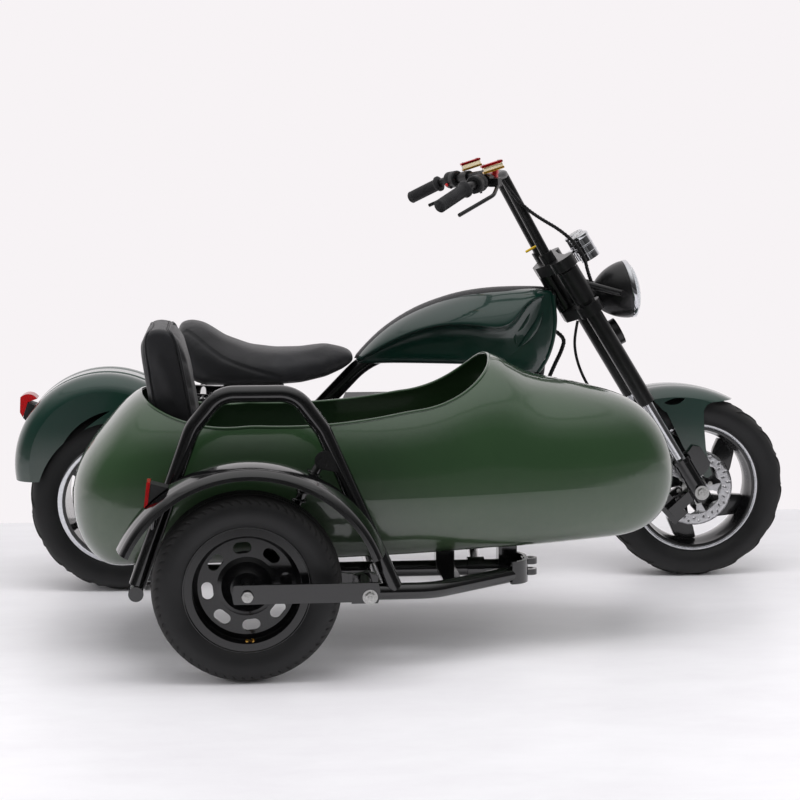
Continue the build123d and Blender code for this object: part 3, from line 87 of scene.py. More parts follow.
# %% Camera
LENS, SENSOR = 86.535, 36
CAMERA_PLACE = (-0.4765, -4.76025, 1.1885)
CAMERA_TILT, CAMERA_TURN = radians(82.21), radians(-5.19)
camera = bpy.data.objects.new("camera", bpy.data.cameras.new("camera"))
camera.data.lens, camera.data.sensor_width = LENS, SENSOR
camera.location = CAMERA_PLACE
camera.rotation_euler = (CAMERA_TILT, 0, CAMERA_TURN)
scene.collection.objects.link(camera)
scene.camera = camera
scene.view_settings.view_transform = "Standard"

# %% [markdown]
# Node trees are long to write out, so three helpers keep them readable: one adds a node and wires
# it, one makes a noise read in the object's own coordinates, and one turns a grey value into a
# colour. Colours are written as a paint chart gives them, 0 to 255, and made linear here.

# %% Helpers for node trees
def chart(r, g, b):
    """A paint chart's colour as the linear one a shader takes."""
    return tuple((c / 255 / 12.92) if c <= 10 else ((c / 255 + 0.055) / 1.055) ** 2.4 for c in (r, g, b)) + (1.0,)


def add(tree, kind, sockets=None, **settings):
    """One shader node: settings first, then each socket gets a value or a link."""
    node = tree.nodes.new("ShaderNode" + kind)
    for key, value in settings.items():
        setattr(node, key, value)
    for key, value in (sockets or {}).items():
        if isinstance(value, bpy.types.NodeSocket):
            tree.links.new(value, node.inputs[key])
        else:
            node.inputs[key].default_value = value
    return node


def place_of(tree, stretch=(1, 1, 1)):
    """Object coordinates, stretched."""
    coords = add(tree, "TexCoord").outputs["Object"]
    return add(tree, "Mapping", {"Vector": coords, "Scale": stretch}).outputs[0]


def speckle(tree, scale, detail=3.0, rough=0.5, stretch=(1, 1, 1)):
    """A noise value read in object coordinates."""
    sockets = {"Vector": place_of(tree, stretch), "Scale": scale, "Detail": detail, "Roughness": rough}
    return add(tree, "TexNoise", sockets).outputs["Fac"]


def ramp(tree, value, *stops):
    """A grey value turned into a colour through stops of (position, colour)."""
    node = add(tree, "ValToRGB", {"Fac": value})
    points = node.color_ramp.elements
    for index, (position, colour) in enumerate(stops):
        point = points[index] if index < 2 else points.new(position)
        point.position = position
        point.color = colour
    return node.outputs["Color"]


def grey(level):
    """A plain grey, already linear."""
    return (level, level, level, 1.0)


def sums(tree, operation, first, second, third=None):
    """One step of arithmetic between values."""
    sockets = {0: first, 1: second}
    if third is not None:
        sockets[2] = third
    return add(tree, "Math", sockets, operation=operation).outputs[0]


def rounded(tree, radius, height=None, strength=0.0, distance=0.0):
    """A surface normal with softened edges, and a bump on it where there is a height."""
    normal = add(tree, "Bevel", {"Radius": radius}, samples=6).outputs[0]
    if height is None:
        return normal
    sockets = {"Height": height, "Strength": strength, "Distance": distance, "Normal": normal}
    return add(tree, "Bump", sockets).outputs[0]


def bumped(tree, height, strength, distance):
    """A surface normal with a bump on it."""
    sockets = {"Height": height, "Strength": strength, "Distance": distance}
    return add(tree, "Bump", sockets).outputs[0]


def finish(name, **values):
    """A new material: its tree and its Principled shader, with plain numbers set on the shader."""
    material = bpy.data.materials.new(name)
    material.use_nodes = True
    tree = material.node_tree
    shader = tree.nodes["Principled BSDF"]
    for key, value in values.items():
        shader.inputs[key.replace("_", " ")].default_value = value
    return material, tree, shader


def feed(tree, shader, **links):
    """Links values into the shader's sockets."""
    for key, value in links.items():
        tree.links.new(value, shader.inputs[key.replace("_", " ")])


def tinted(tree, shader, cloud, tones, roughness, swing, normal, stops=(0.3, 0.7)):
    """Lets a noise move a finish between its dark and light tones, and its roughness by swing."""
    tone = ramp(tree, cloud, *zip(stops, tones))
    sheen = sums(tree, "MULTIPLY_ADD", cloud, swing, roughness - swing / 2)
    feed(tree, shader, Base_Color=tone, Roughness=sheen, Normal=normal)


# %% [markdown]
# A studio like this one has a pale sweep of floor and wall and big soft boxes overhead. The shine
# on the paint is a picture of that room, so the room is drawn as a sky of soft grey bands: bright
# overhead, pale behind the outfit and dim on the camera's side. Only reflections see those bands.
# The camera sees an even pale wall, and plain light comes from an even grey.

# %% Studio room
WALL = chart(247, 243, 245)
world = bpy.data.worlds.new("studio")
scene.world = world
world.use_nodes = True
room = world.node_tree
room.nodes.clear()
looks = add(room, "TexCoord").outputs["Generated"]
split = add(room, "SeparateXYZ", {0: looks})
above = ramp(
    room, sums(room, "MULTIPLY_ADD", split.outputs["Z"], 0.5, 0.5),
    (0.0, grey(0.30)), (0.47, grey(0.20)), (0.52, grey(0.03)), (0.70, grey(0.055)), (0.80, grey(0.26)),
    (0.875, grey(0.62)), (0.89, grey(0.35)), (0.905, grey(0.80)), (1.0, grey(1.0)),
)
behind = sums(room, "MULTIPLY_ADD", split.outputs["Y"], 0.5, 0.5)
wall_share = ramp(room, behind, (0.0, grey(0)), (0.48, grey(0.05)), (0.75, grey(0.9)), (1.0, grey(1)))
shine = add(room, "Mix", {0: wall_share, 6: above, 7: WALL}, data_type="RGBA").outputs[2]
rays = add(room, "LightPath")
seen = add(room, "Background", {"Color": WALL, "Strength": 1.0}).outputs[0]
mirrored_room = add(room, "Background", {"Color": shine, "Strength": 1.0}).outputs[0]
plain_light = add(room, "Background", {"Color": grey(0.62), "Strength": 1.0}).outputs[0]
gloss_rays = sums(room, "MAXIMUM", rays.outputs["Is Glossy Ray"], rays.outputs["Is Transmission Ray"])
first = add(room, "MixShader", {0: gloss_rays, 1: plain_light, 2: mirrored_room}).outputs[0]
last = add(room, "MixShader", {0: rays.outputs["Is Camera Ray"], 1: first, 2: seen}).outputs[0]
add(room, "OutputWorld", {"Surface": last})

# %% Soft boxes
def soft_box(name, place, toward, width, depth, watts):
    """A rectangular studio light aimed at a point."""
    lamp = bpy.data.objects.new(name, bpy.data.lights.new(name, "AREA"))
    lamp.data.shape = "RECTANGLE"
    lamp.data.size, lamp.data.size_y = width, depth
    lamp.data.energy = watts
    lamp.location = place
    lamp.visible_glossy = False
    lamp.rotation_euler = (Vector(toward) - Vector(place)).to_track_quat("-Z", "Y").to_euler()
    scene.collection.objects.link(lamp)


soft_box("overhead", (-0.2, -0.9, 3.3), (-0.1, -0.2, 0), 3.6, 1.6, 62)
soft_box("left_bank", (-3.6, -1.6, 1.9), (0, -0.3, 0.4), 1.4, 2.0, 22)
soft_box("right_bank", (3.6, -1.4, 1.9), (0, -0.2, 0.4), 1.4, 2.0, 22)

# %% [markdown]
# The floor is painted board, scuffed grey by wheels and shoes. It catches the outfit's shadow, and
# past the foot of the wall it takes the wall's own pale tone, so that the join reads as a soft line.

# %% Floor
WALL_FOOT = 1.19
NEAR_FLOOR = (-1.9, -2.6)
floor_finish, tree, shader = finish("painted_floor", Roughness=0.42)
scuffs = speckle(tree, 1.1, 8.0, 0.62, (1.0, 1.6, 1.0))
streaks = speckle(tree, 5.0, 6.0, 0.7, (0.8, 2.2, 1.0))
both = sums(tree, "MULTIPLY_ADD", streaks, 0.45, sums(tree, "MULTIPLY", scuffs, 0.55))
tone = ramp(tree, both, (0.30, chart(236, 233, 238)), (0.50, chart(243, 241, 245)), (0.66, chart(248, 246, 250)))
feed(tree, shader, Base_Color=tone, Normal=bumped(tree, streaks, 0.05, 0.002))
depth = add(tree, "SeparateXYZ", {0: add(tree, "TexCoord").outputs["Object"]}).outputs["Y"]
past = sums(tree, "GREATER_THAN", depth, WALL_FOOT)
paint = add(tree, "Emission", {"Color": WALL, "Strength": 1.0}).outputs[0]
join = add(tree, "MixShader", {0: past, 1: shader.outputs[0], 2: paint}).outputs[0]
# Only reflections see this: towards the camera the floor turns into a flat dark grey emission, a painted dark
# reflection in the paint.
near = add(tree, "MapRange", {0: depth, 1: NEAR_FLOOR[0], 2: NEAR_FLOOR[1]}).outputs[0]
dim = sums(tree, "MULTIPLY", near, add(tree, "LightPath").outputs["Is Glossy Ray"])
shade = add(tree, "Emission", {"Color": grey(0.10), "Strength": 1.0}).outputs[0]
join = add(tree, "MixShader", {0: dim, 1: join, 2: shade}).outputs[0]
tree.links.new(join, tree.nodes["Material Output"].inputs["Surface"])
bm = bmesh.new()
bmesh.ops.create_grid(bm, x_segments=1, y_segments=1, size=14)
floor_mesh = bpy.data.meshes.new("floor")
bm.to_mesh(floor_mesh)
bm.free()
floor_mesh.materials.append(floor_finish)
floor = bpy.data.objects.new("floor", floor_mesh)
scene.collection.objects.link(floor)
print("stage set")

# %% [markdown]
# Every finish is a small network of nodes, never one flat colour. The sidecar's olive is a coat of
# cellulose-look paint under clear lacquer. Its colour drifts a little from panel to panel, fine
# orange peel breaks up the mirror, and near the ground the colour turns paler grey in speckles and
# the lacquer rougher.

# %% Body paints
def lacquer(name, light, dark, peel=0.035):
    """Colour coat under clear lacquer: drifting tone, orange peel, and paler grey speckles with rougher lacquer near
    the ground.
    """
    material, tree, shader = finish(
        name, Metallic=0.0, Specular_IOR_Level=0.5, Coat_Weight=1.0, Coat_Roughness=0.025, Coat_IOR=1.55
    )
    drift = speckle(tree, 2.2, 2.0)
    tone = ramp(tree, drift, (0.35, dark), (0.65, light))
    # Towards the ground the colour is mixed in speckles toward a pale grey, and the lacquer turns rougher there.
    height = add(tree, "SeparateXYZ", {0: add(tree, "TexCoord").outputs["Object"]}).outputs["Z"]
    low = add(tree, "MapRange", {0: height, 1: 0.45, 2: 0.16}).outputs[0]
    low_pale_speckle = sums(tree, "MULTIPLY", low, sums(tree, "MULTIPLY", speckle(tree, 38, 5.0, 0.65), 0.30))
    paled_tone = add(tree, "Mix", {0: low_pale_speckle, 6: tone, 7: chart(120, 116, 104)}, data_type="RGBA").outputs[2]
    rough = sums(tree, "MULTIPLY_ADD", low_pale_speckle, 0.6, 0.30)
    feed(tree, shader, Base_Color=paled_tone, Roughness=rough)
    tree.links.new(bumped(tree, speckle(tree, 420, 2.0), peel, 0.0006), shader.inputs["Coat Normal"])
    return material


OLIVE = lacquer("olive_paint", chart(38, 65, 36), chart(32, 56, 31))
TEAL = lacquer("teal_paint", chart(6, 47, 37), chart(4, 36, 29))

# %% [markdown]
# Frame tubes, guards and rims are powder coated black. Powder flows into a slightly pebbled gloss.
# The fork and the castings wear a satin black. The Bevel node rounds every edge in the shading, so
# that an edge catches a thin line of light as a real one does.

# %% Black coatings
def powder(name, dark, light, roughness, coat, pebble):
    """Baked powder coat over steel or cast metal."""
    material, tree, shader = finish(name, Specular_IOR_Level=0.5, Coat_Weight=coat, Coat_Roughness=0.06)
    normal = rounded(tree, 0.0012, speckle(tree, 900, 2.0), pebble, 0.0004)
    tinted(tree, shader, speckle(tree, 14, 5.0, 0.6), (dark, light), roughness, 0.12, normal, (0.35, 0.68))
    return material


BLACK_GLOSS = powder("black_powder_coat", chart(7, 7, 8), chart(12, 12, 13), 0.14, 0.8, 0.07)
BLACK_SATIN = powder("satin_black_castings", chart(9, 9, 10), chart(16, 16, 17), 0.36, 0.15, 0.18)
BLACK_PLASTIC = powder("moulded_black_plastic", chart(20, 20, 21), chart(30, 30, 31), 0.50, 0.0, 0.35)
WHEEL_BLACK = powder("wheel_enamel", chart(7, 7, 8), chart(12, 12, 13), 0.20, 0.4, 0.09)

# %% [markdown]
# Bare metals differ mostly in how they were cut. A brake disc is ground in circles, a rim's edge is
# turned on a lathe, a bolt is zinc plated and a stanchion is ground and chromed. Rings of fine
# grooves come from the distance to the axle.

# %% Bare metals
def from_axle(tree, axle):
    """The distance of a point from a wheel's axle line."""
    coords = add(tree, "TexCoord").outputs["Object"]
    moved = add(tree, "VectorMath", {0: coords, 1: tuple(axle)}, operation="SUBTRACT").outputs[0]
    flat = add(tree, "VectorMath", {0: moved, 1: (1, 0, 1)}, operation="MULTIPLY").outputs[0]
    return add(tree, "VectorMath", {0: flat}, operation="LENGTH").outputs["Value"]


def turned_metal(name, axle, light, dark, roughness):
    """Metal cut in rings about an axle."""
    material, tree, shader = finish(name, Metallic=1.0)
    rings = sums(tree, "SINE", sums(tree, "MULTIPLY", from_axle(tree, axle), 9000), 0)
    normal = rounded(tree, 0.0008, rings, 0.08, 0.0002)
    tinted(tree, shader, speckle(tree, 60, 4.0, 0.6), (dark, light), roughness, 0.18, normal)
    return material


def plated(name, light, dark, roughness, scale=160, bump=0.04):
    """Plated or polished metal with faint handling marks."""
    material, tree, shader = finish(name, Metallic=1.0)
    marks = speckle(tree, scale, 5.0, 0.65)
    tinted(tree, shader, marks, (dark, light), roughness, 0.16, rounded(tree, 0.0006, marks, bump, 0.0003))
    return material


CHROME = plated("chrome_plate", chart(226, 227, 230), chart(204, 206, 210), 0.07)
ZINC = plated("zinc_bolts", chart(205, 205, 202), chart(168, 168, 166), 0.30, 260, 0.10)
BRASS = plated("brass_fittings", chart(212, 170, 88), chart(176, 132, 58), 0.25, 200, 0.08)
GOLD_ALLOY = plated("gold_anodised_alloy", chart(216, 172, 74), chart(190, 140, 48), 0.28, 200, 0.08)
RED_ALLOY = plated("red_anodised_alloy", chart(206, 34, 40), chart(160, 18, 26), 0.30, 200, 0.08)
FRONT_DISC_STEEL = turned_metal("ground_disc_front", FRONT_AXLE, chart(206, 206, 208), chart(176, 176, 178), 0.28)
REAR_DISC_STEEL = turned_metal("ground_disc_rear", REAR_AXLE, chart(206, 206, 208), chart(176, 176, 178), 0.28)

# %% [markdown]
# A cast rim is enamelled black all over, then its edge is skimmed bright on a lathe. One material
# does both: the distance from the axle decides which of two shaders shows.

# %% Two-tone rims
def skimmed_rim(name, axle, bright_from):
    """Black enamel inside, bright turned metal from a given radius outwards."""
    material, tree, enamel = finish(name, Coat_Weight=0.5, Coat_Roughness=0.05)
    tones = (chart(9, 9, 10), chart(17, 17, 18))
    tinted(tree, enamel, speckle(tree, 14, 4.0), tones, 0.28, 0.12, rounded(tree, 0.0015), (0.35, 0.68))
    radius = from_axle(tree, axle)
    rings = sums(tree, "SINE", sums(tree, "MULTIPLY", radius, 7000), 0)
    metal = add(tree, "BsdfPrincipled", {"Metallic": 1.0})
    stain = speckle(tree, 50, 4.0)
    skimmed = rounded(tree, 0.0010, rings, 0.06, 0.0002)
    tinted(tree, metal, stain, (chart(196, 197, 200), chart(222, 223, 226)), 0.20, 0.14, skimmed)
    bright = sums(tree, "GREATER_THAN", radius, bright_from)
    mixed = add(tree, "MixShader", {0: bright, 1: enamel.outputs[0], 2: metal.outputs[0]}).outputs[0]
    tree.links.new(mixed, tree.nodes["Material Output"].inputs["Surface"])
    return material


FRONT_RIM = skimmed_rim("front_rim_enamel", FRONT_AXLE, 0.1665)
REAR_RIM = skimmed_rim("rear_rim_enamel", REAR_AXLE, 0.1545)

# %% [markdown]
# Tyre rubber is a dark grey that is never quite clean: the tread wears to a paler, drier grey than
# the side wall, which keeps a faint moulded sheen.

# %% Rubbers
def tyre_rubber(name, axle, tread_from):
    """Side walls with a faint sheen, and a drier, dustier tread."""
    material, tree, shader = finish(name, Specular_IOR_Level=0.4)
    radius = from_axle(tree, axle)
    grain = speckle(tree, 220, 6.0, 0.7)
    patches = speckle(tree, 9, 4.0)
    worn = add(tree, "MapRange", {0: radius, 1: tread_from - 0.012, 2: tread_from + 0.004}).outputs[0]
    dust = sums(tree, "MULTIPLY", worn, sums(tree, "MULTIPLY_ADD", patches, 0.6, 0.15))
    wall = ramp(tree, patches, (0.3, chart(19, 19, 20)), (0.7, chart(28, 28, 29)))
    tone = add(tree, "Mix", {0: dust, 6: wall, 7: chart(50, 49, 48)}, data_type="RGBA").outputs[2]
    feed(tree, shader, Base_Color=tone, Roughness=sums(tree, "MULTIPLY_ADD", worn, 0.22, 0.52))
    feed(tree, shader, Normal=bumped(tree, grain, 0.28, 0.0006))
    return material


def soft_rubber(name, dark, light, roughness=0.62):
    """Moulded rubber for grips, hoses and mats."""
    material, tree, shader = finish(name, Specular_IOR_Level=0.45)
    grain = speckle(tree, 500, 4.0, 0.65)
    feed(tree, shader, Base_Color=ramp(tree, speckle(tree, 30, 4.0), (0.3, dark), (0.7, light)))
    feed(tree, shader, Roughness=sums(tree, "MULTIPLY_ADD", grain, 0.15, roughness - 0.07))
    feed(tree, shader, Normal=bumped(tree, grain, 0.25, 0.0004))
    return material


GRIP_RUBBER = soft_rubber("grip_rubber", chart(25, 25, 27), chart(38, 38, 40))
HOSE_RUBBER = soft_rubber("hose_rubber", chart(15, 15, 16), chart(26, 26, 27), 0.45)

# %% [markdown]
# Seat vinyl is pressed with a leather grain: small flattened cells with creases between them. The
# Voronoi distance to the cell edge gives those creases, and a slow noise changes the sheen where the
# cover has been sat on.

# %% Leathers and liners
def hide(name, dark, light, grain=620, roughness=0.46, strength=0.30):
    """Grained black leathercloth."""
    material, tree, shader = finish(name, Specular_IOR_Level=0.42, Sheen_Weight=0.08, Sheen_Roughness=0.4)
    coords = place_of(tree)
    wander = add(tree, "TexNoise", {"Vector": coords, "Scale": 90, "Detail": 3}).outputs["Color"]
    bent = add(tree, "Mix", {0: 0.006, 4: coords, 5: wander}, data_type="VECTOR").outputs[1]
    cells = add(tree, "TexVoronoi", {"Vector": bent, "Scale": grain}, feature="DISTANCE_TO_EDGE").outputs["Distance"]
    crease = add(tree, "MapRange", {0: cells, 1: 0.0, 2: 0.10}).outputs[0]
    normal = bumped(tree, crease, strength, 0.0004)
    tinted(tree, shader, speckle(tree, 7, 4.0), (dark, light), roughness, 0.18, normal, (0.3, 0.72))
    return material


LEATHER = hide("black_leathercloth", chart(22, 22, 24), chart(32, 32, 35))
LINER = hide("cockpit_lining", chart(13, 13, 14), chart(20, 20, 21), 900, 0.7, 0.2)

# %% [markdown]
# Lamp lenses are coloured clear plastic over a ribbed back. The headlamp's glass is clear with a
# faint tint, and the brake fluid pots are cloudy clear plastic.

# %% Glasses and coloured plastics
def clear(name, tint, roughness, transmission, ior=1.49):
    """Glass or clear plastic with a faint tint."""
    material, tree, shader = finish(name, IOR=ior, Transmission_Weight=transmission)
    marks = speckle(tree, 45, 3.0)
    faded = tuple(c * 0.86 for c in tint[:3]) + (1.0,)
    feed(tree, shader, Base_Color=ramp(tree, marks, (0.3, faded), (0.7, tint)))
    feed(tree, shader, Roughness=sums(tree, "MULTIPLY_ADD", marks, 0.05, roughness))
    return material


LAMP_GLASS = clear("lamp_glass", chart(238, 242, 244), 0.01, 1.0, 1.46)
POT_PLASTIC = clear("reservoir_plastic", chart(244, 232, 196), 0.12, 0.75)
RED_LENS = clear("red_lens", chart(196, 22, 26), 0.08, 0.45)


def dyed(name, light, dark, roughness):
    """Coloured moulded plastic."""
    material, tree, shader = finish(name, Coat_Weight=0.3, Coat_Roughness=0.1)
    normal = rounded(tree, 0.0008, speckle(tree, 700), 0.08, 0.0004)
    tinted(tree, shader, speckle(tree, 70, 4.0), (dark, light), roughness, 0.1, normal)
    return material


RED_PLASTIC = dyed("red_plastic", chart(196, 40, 42), chart(168, 26, 30), 0.35)
YELLOW_PLASTIC = dyed("yellow_key_head", chart(236, 196, 30), chart(216, 172, 18), 0.38)
DIAL_WHITE = dyed("dial_face", chart(226, 226, 220), chart(210, 210, 204), 0.5)
print("finishes:", len(bpy.data.materials))

# %% [markdown]
# Most parts of the engineering model already have their true shape: tubes, plates, axles and hulls.
# They stay as they are and only take a finish, which goes into their material slots. The nodes that
# are not in this table are swapped for shaped pieces in the cells below.

# %% Finishes for the carried-over parts
DRESS = {
    BLACK_GLOSS: (
        "fork_lowers", "front_caliper", "main_frame", "swing_arm", "footboards", "sidecar_frame", "sidecar_hoop",
        "sidecar_fender", "sidecar_swing_arm", "sidecar_struts",
    ),
    BLACK_SATIN: ("fork_yokes", "handlebar", "brake_levers", "headlamp", "horn"),
    BLACK_PLASTIC: ("battery_box", "tail_lamp", "sidecar_lamp"),
    TEAL: ("front_fender", "rear_fender"),
    ZINC: ("front_axle", "rear_axle", "sidecar_axle"),
    CHROME: ("fork_stanchions", "gauge_cups"),
    RED_LENS: ("tail_lens", "sidecar_lamp_lens"),
    OLIVE: ("sidecar_shell",),
    LINER: ("sidecar_bench",),
    REAR_RIM: ("rear_rim",),
    WHEEL_BLACK: ("sidecar_rim",),
    REAR_DISC_STEEL: ("rear_disc",),
}
for material, nodes in DRESS.items():
    for node in nodes:
        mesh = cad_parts[node].data
        mesh.materials.clear()
        mesh.materials.append(material)
print("dressed", sum(map(len, DRESS.values())), "of", len(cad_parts))

# %% [markdown]
# A new piece always ends the same way: its mesh is closed up, smoothed except at sharp edges, given
# its finish and hung on the body it moves with. One helper does that. A second turns a profile on a
# lathe, because wheels, cups, lamps and bolts are all turned shapes.

# %% Helpers for new pieces
def finished(name, bm, finish_used, body, slot, *nodes, angle=35, levels=0):
    """Closes a bmesh and makes it a piece that rides on a body and may stand for CAD nodes."""
    bmesh.ops.remove_doubles(bm, verts=bm.verts, dist=2e-6)
    bmesh.ops.recalc_face_normals(bm, faces=bm.faces)
    for face in bm.faces:
        face.smooth = True
    mesh = bpy.data.meshes.new(name)
    bm.to_mesh(mesh)
    bm.free()
    mesh.set_sharp_from_angle(angle=radians(angle))
    mesh.materials.append(finish_used)
    piece = bpy.data.objects.new(name, mesh)
    scene.collection.objects.link(piece)
    if levels:
        smoother = piece.modifiers.new("smooth_skin", "SUBSURF")
        smoother.levels = smoother.render_levels = levels
    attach(piece, body)
    if nodes:
        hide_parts(*nodes)
    return piece


def lathe(bm, profile, centre, axis=ACROSS, steps=96, closed=False):
    """Turns a profile of (radius, distance along the axis), both in mm, about an axis."""
    axis = Vector(axis).normalized()
    out = axis.cross(Vector((0.36, 0.48, 0.80))).normalized()
    line = [bm.verts.new(centre + (out * r + axis * a) / 1000) for r, a in profile]
    edges = [bm.edges.new(pair) for pair in zip(line, line[1:])]
    if closed:
        edges.append(bm.edges.new((line[-1], line[0])))
    bmesh.ops.spin(
        bm, geom=line + edges, cent=centre, axis=axis, angle=2 * pi, steps=steps, use_merge=True, dvec=(0, 0, 0)
    )


def soften(bm, verts, round_mm, segments):
    """Rounds every edge that meets the given points."""
    edges = list({edge for vert in verts for edge in vert.link_edges})
    bmesh.ops.bevel(
        bm, geom=edges, offset=round_mm / 1000, segments=segments, profile=0.5, affect="EDGES", material=-1,
        clamp_overlap=True,
    )


def plate(bm, outline, low, high, place=at, round_mm=0.0):
    """An outline of (x, z) in mm, pushed across the bike from low to high, with rounded edges."""
    ring = [bm.verts.new(place(x, low, z)) for x, z in outline]
    face = bm.faces.new(ring)
    grown = bmesh.ops.extrude_face_region(bm, geom=[face])["geom"]
    moved = [v for v in grown if isinstance(v, bmesh.types.BMVert)]
    bmesh.ops.translate(bm, verts=moved, vec=ACROSS * (high - low) / 1000)
    if round_mm:
        soften(bm, ring + moved, round_mm, 2)


def lay(bm, mesh):
    """Adds a mesh to a bmesh; the mesh is used up."""
    bm.from_mesh(mesh)
    bpy.data.meshes.remove(mesh)


def pour(bm, other):
    """Adds one bmesh to another; the second is used up."""
    mesh = bpy.data.meshes.new("poured")
    other.to_mesh(mesh)
    other.free()
    lay(bm, mesh)


# %% [markdown]
# A tyre is one turned ring. Its tread is a grid of faces: turning each vertex about the axle by a
# little more the further out it sits bends the grid's rows into the sweep of real grooves, without
# changing the tyre's shape. Rows of faces are then inset and sunk to cut the grooves.

# %% Tyres
# what lies this close to the ground, in metres, is pressed flat on it
GROUND_FLAT = 0.0012
# columns: share of the tyre's height, share of its half width
WALL_SHARES = [
    (0.0, 0.76), (0.05, 0.80), (0.10, 0.845), (0.145, 0.850), (0.16, 0.872), (0.30, 0.945), (0.45, 0.992), (0.56, 1.0),
    (0.68, 0.985), (0.78, 0.945),
]
TREAD_SHARES = [
    (0.84, 0.905), (0.885, 0.855), (0.920, 0.780), (0.945, 0.690), (0.965, 0.580), (0.980, 0.460), (0.990, 0.330),
    (0.997, 0.190), (1.0, 0.065),
]


def tyre(body, axle, radius, half, bead_r, bead_half, steps, sweep, tread_from, tread):
    """A tyre with its grooves; tread(bm, rows) cuts them, rows[step][column] being tread faces."""
    name = body.replace("wheel", "tyre")
    rubber = tyre_rubber(name + "_rubber", axle, tread_from)
    bm = bmesh.new()
    height = radius - bead_r
    seat = bead_half / half
    side = [(bead_r + height * up, half * (seat + (1 - seat) * (out - 0.76) / 0.24)) for up, out in WALL_SHARES]
    crown = [(bead_r + height * up, half * out) for up, out in TREAD_SHARES]
    near = side + crown
    profile = [(r, -a) for r, a in near] + [(r, a) for r, a in reversed(near)]
    lathe(bm, profile, axle, steps=steps, closed=True)
    bmesh.ops.remove_doubles(bm, verts=bm.verts, dist=1e-6)
    bmesh.ops.recalc_face_normals(bm, faces=bm.faces)

    def polar(face):
        spot = face.calc_center_median() - axle
        return atan2(spot.z, spot.x), (spot.x**2 + spot.z**2) ** 0.5, spot.y

    rows = [[] for _ in range(steps)]
    crown_r = (bead_r + height * 0.9) / 1000
    start = min(polar(face)[0] % (2 * pi / steps) for face in bm.faces if polar(face)[1] > crown_r)
    for face in bm.faces:
        turn, out, across = polar(face)
        if out > (bead_r + height * 0.80) / 1000:
            rows[round((turn - start) / (2 * pi / steps)) % steps].append((across, face))
    rows = [[face for _, face in sorted(row, key=lambda pair: pair[0])] for row in rows]
    for vert in bm.verts:
        spot = vert.co - axle
        share = min(abs(spot.y) * 1000 / half, 1.0)
        lean = sweep * (share - 0.065) ** 1.3 if share > 0.065 else 0.0
        vert.co = axle + Matrix.Rotation(lean, 3, "Y") @ spot
    tread(bm, rows)
    for vert in bm.verts:
        if vert.co.z < GROUND_FLAT:
            vert.co.z = 0.0
    return finished(name + "_rubber", bm, rubber, body, "tyre", name, angle=50)


def sink(bm, faces, inset_mm, deep_mm):
    """Cuts a groove: the faces' shared border is inset, then the floor drops."""
    if faces:
        bmesh.ops.inset_region(
            bm, faces=faces, thickness=inset_mm / 1000, depth=0.0, use_even_offset=True, use_boundary=True
        )
        for face in faces:
            face.normal_update()
        drops = {}
        for face in faces:
            for vert in face.verts:
                drops[vert] = drops.get(vert, Vector()) + face.normal
        for vert, normal in drops.items():
            vert.co -= normal.normalized() * deep_mm / 1000


def road_tread(period, first, last, gap_mm):
    """Long swept grooves, one side half a period after the other, with a pair of dots between."""

    def cut(bm, rows):
        for index, row in enumerate(rows):
            columns = len(row)
            near, far = row[first:last], row[columns - last:columns - first]
            if index % period == 0:
                sink(bm, near, gap_mm, 3.2)
            if index % period == period // 2:
                sink(bm, far, gap_mm, 3.2)
            dot = {period // 2: (3, 5), 0: (columns - 4, columns - 6)}.get(index % period, ())
            for column in dot:
                sink(bm, [row[column]], gap_mm * 0.92, 2.6)

    return cut


def trailer_tread(bm, rows):
    """Short slanted cuts in both shoulders and three rings round the crown."""
    for index, row in enumerate(rows):
        columns = len(row)
        if index % 3 == 0:
            sink(bm, row[0:4], 2.2, 2.6)
            sink(bm, row[columns - 4:columns], 2.2, 2.6)
    for column in (6, 8, 10):
        sink(bm, [row[column] for row in rows], 0.8, 3.0)


tyre("front_wheel", FRONT_AXLE, 245.0, 65.5, 166.0, 44.7, 144, -0.42, 0.232, road_tread(8, 1, 8, 3.9))
tyre("rear_wheel", REAR_AXLE, 238.5, 108.0, 153.0, 88.7, 144, -0.5, 0.226, road_tread(9, 1, 8, 3.7))
tyre("sidecar_wheel", CAR_AXLE, 210.0, 60.3, 127.6, 40.7, 180, 0.34, 0.198, trailer_tread)
print("tyres cut")

# %% [markdown]
# The front wheel is one casting: a barrel with a double lip that is skimmed bright, and five hooked
# blades. Each blade's outline is drawn once with the wheel's own radii, pushed through the wheel's
# middle, rounded at its edges and turned to its five places. One edge of the blade runs nearly
# straight out and the other sweeps forward to the rim.

# %% Front wheel
RIM_EDGE = [
    (158.4, 50.0), (163.5, 52.0), (166.2, 51.4), (167.2, 49.6), (168.4, 49.4), (169.4, 51.2), (176.0, 51.6),
    (177.4, 50.2), (178.6, 50.4), (180.0, 49.0), (178.4, 45.4), (166.3, 44.8),
]
BARREL = [(r, -a) for r, a in RIM_EDGE] + [(166.2, 0.0)] + RIM_EDGE[::-1]
BARREL += [(155.0, 30.0), (150.0, 16.0), (150.0, -16.0), (155.0, -30.0)]
BLADE = [
    (28, -34), (60, -22), (92, -6), (118, 18), (132, 26), (147, 32), (152, 36), (152, 50), (146, 55),
    (116, 53), (88, 46), (60, 40), (28, 34),
]


def around(axle):
    """A place function for outlines drawn about an axle."""
    return lambda x, y, z: axle + Vector((x, y, z)) / 1000


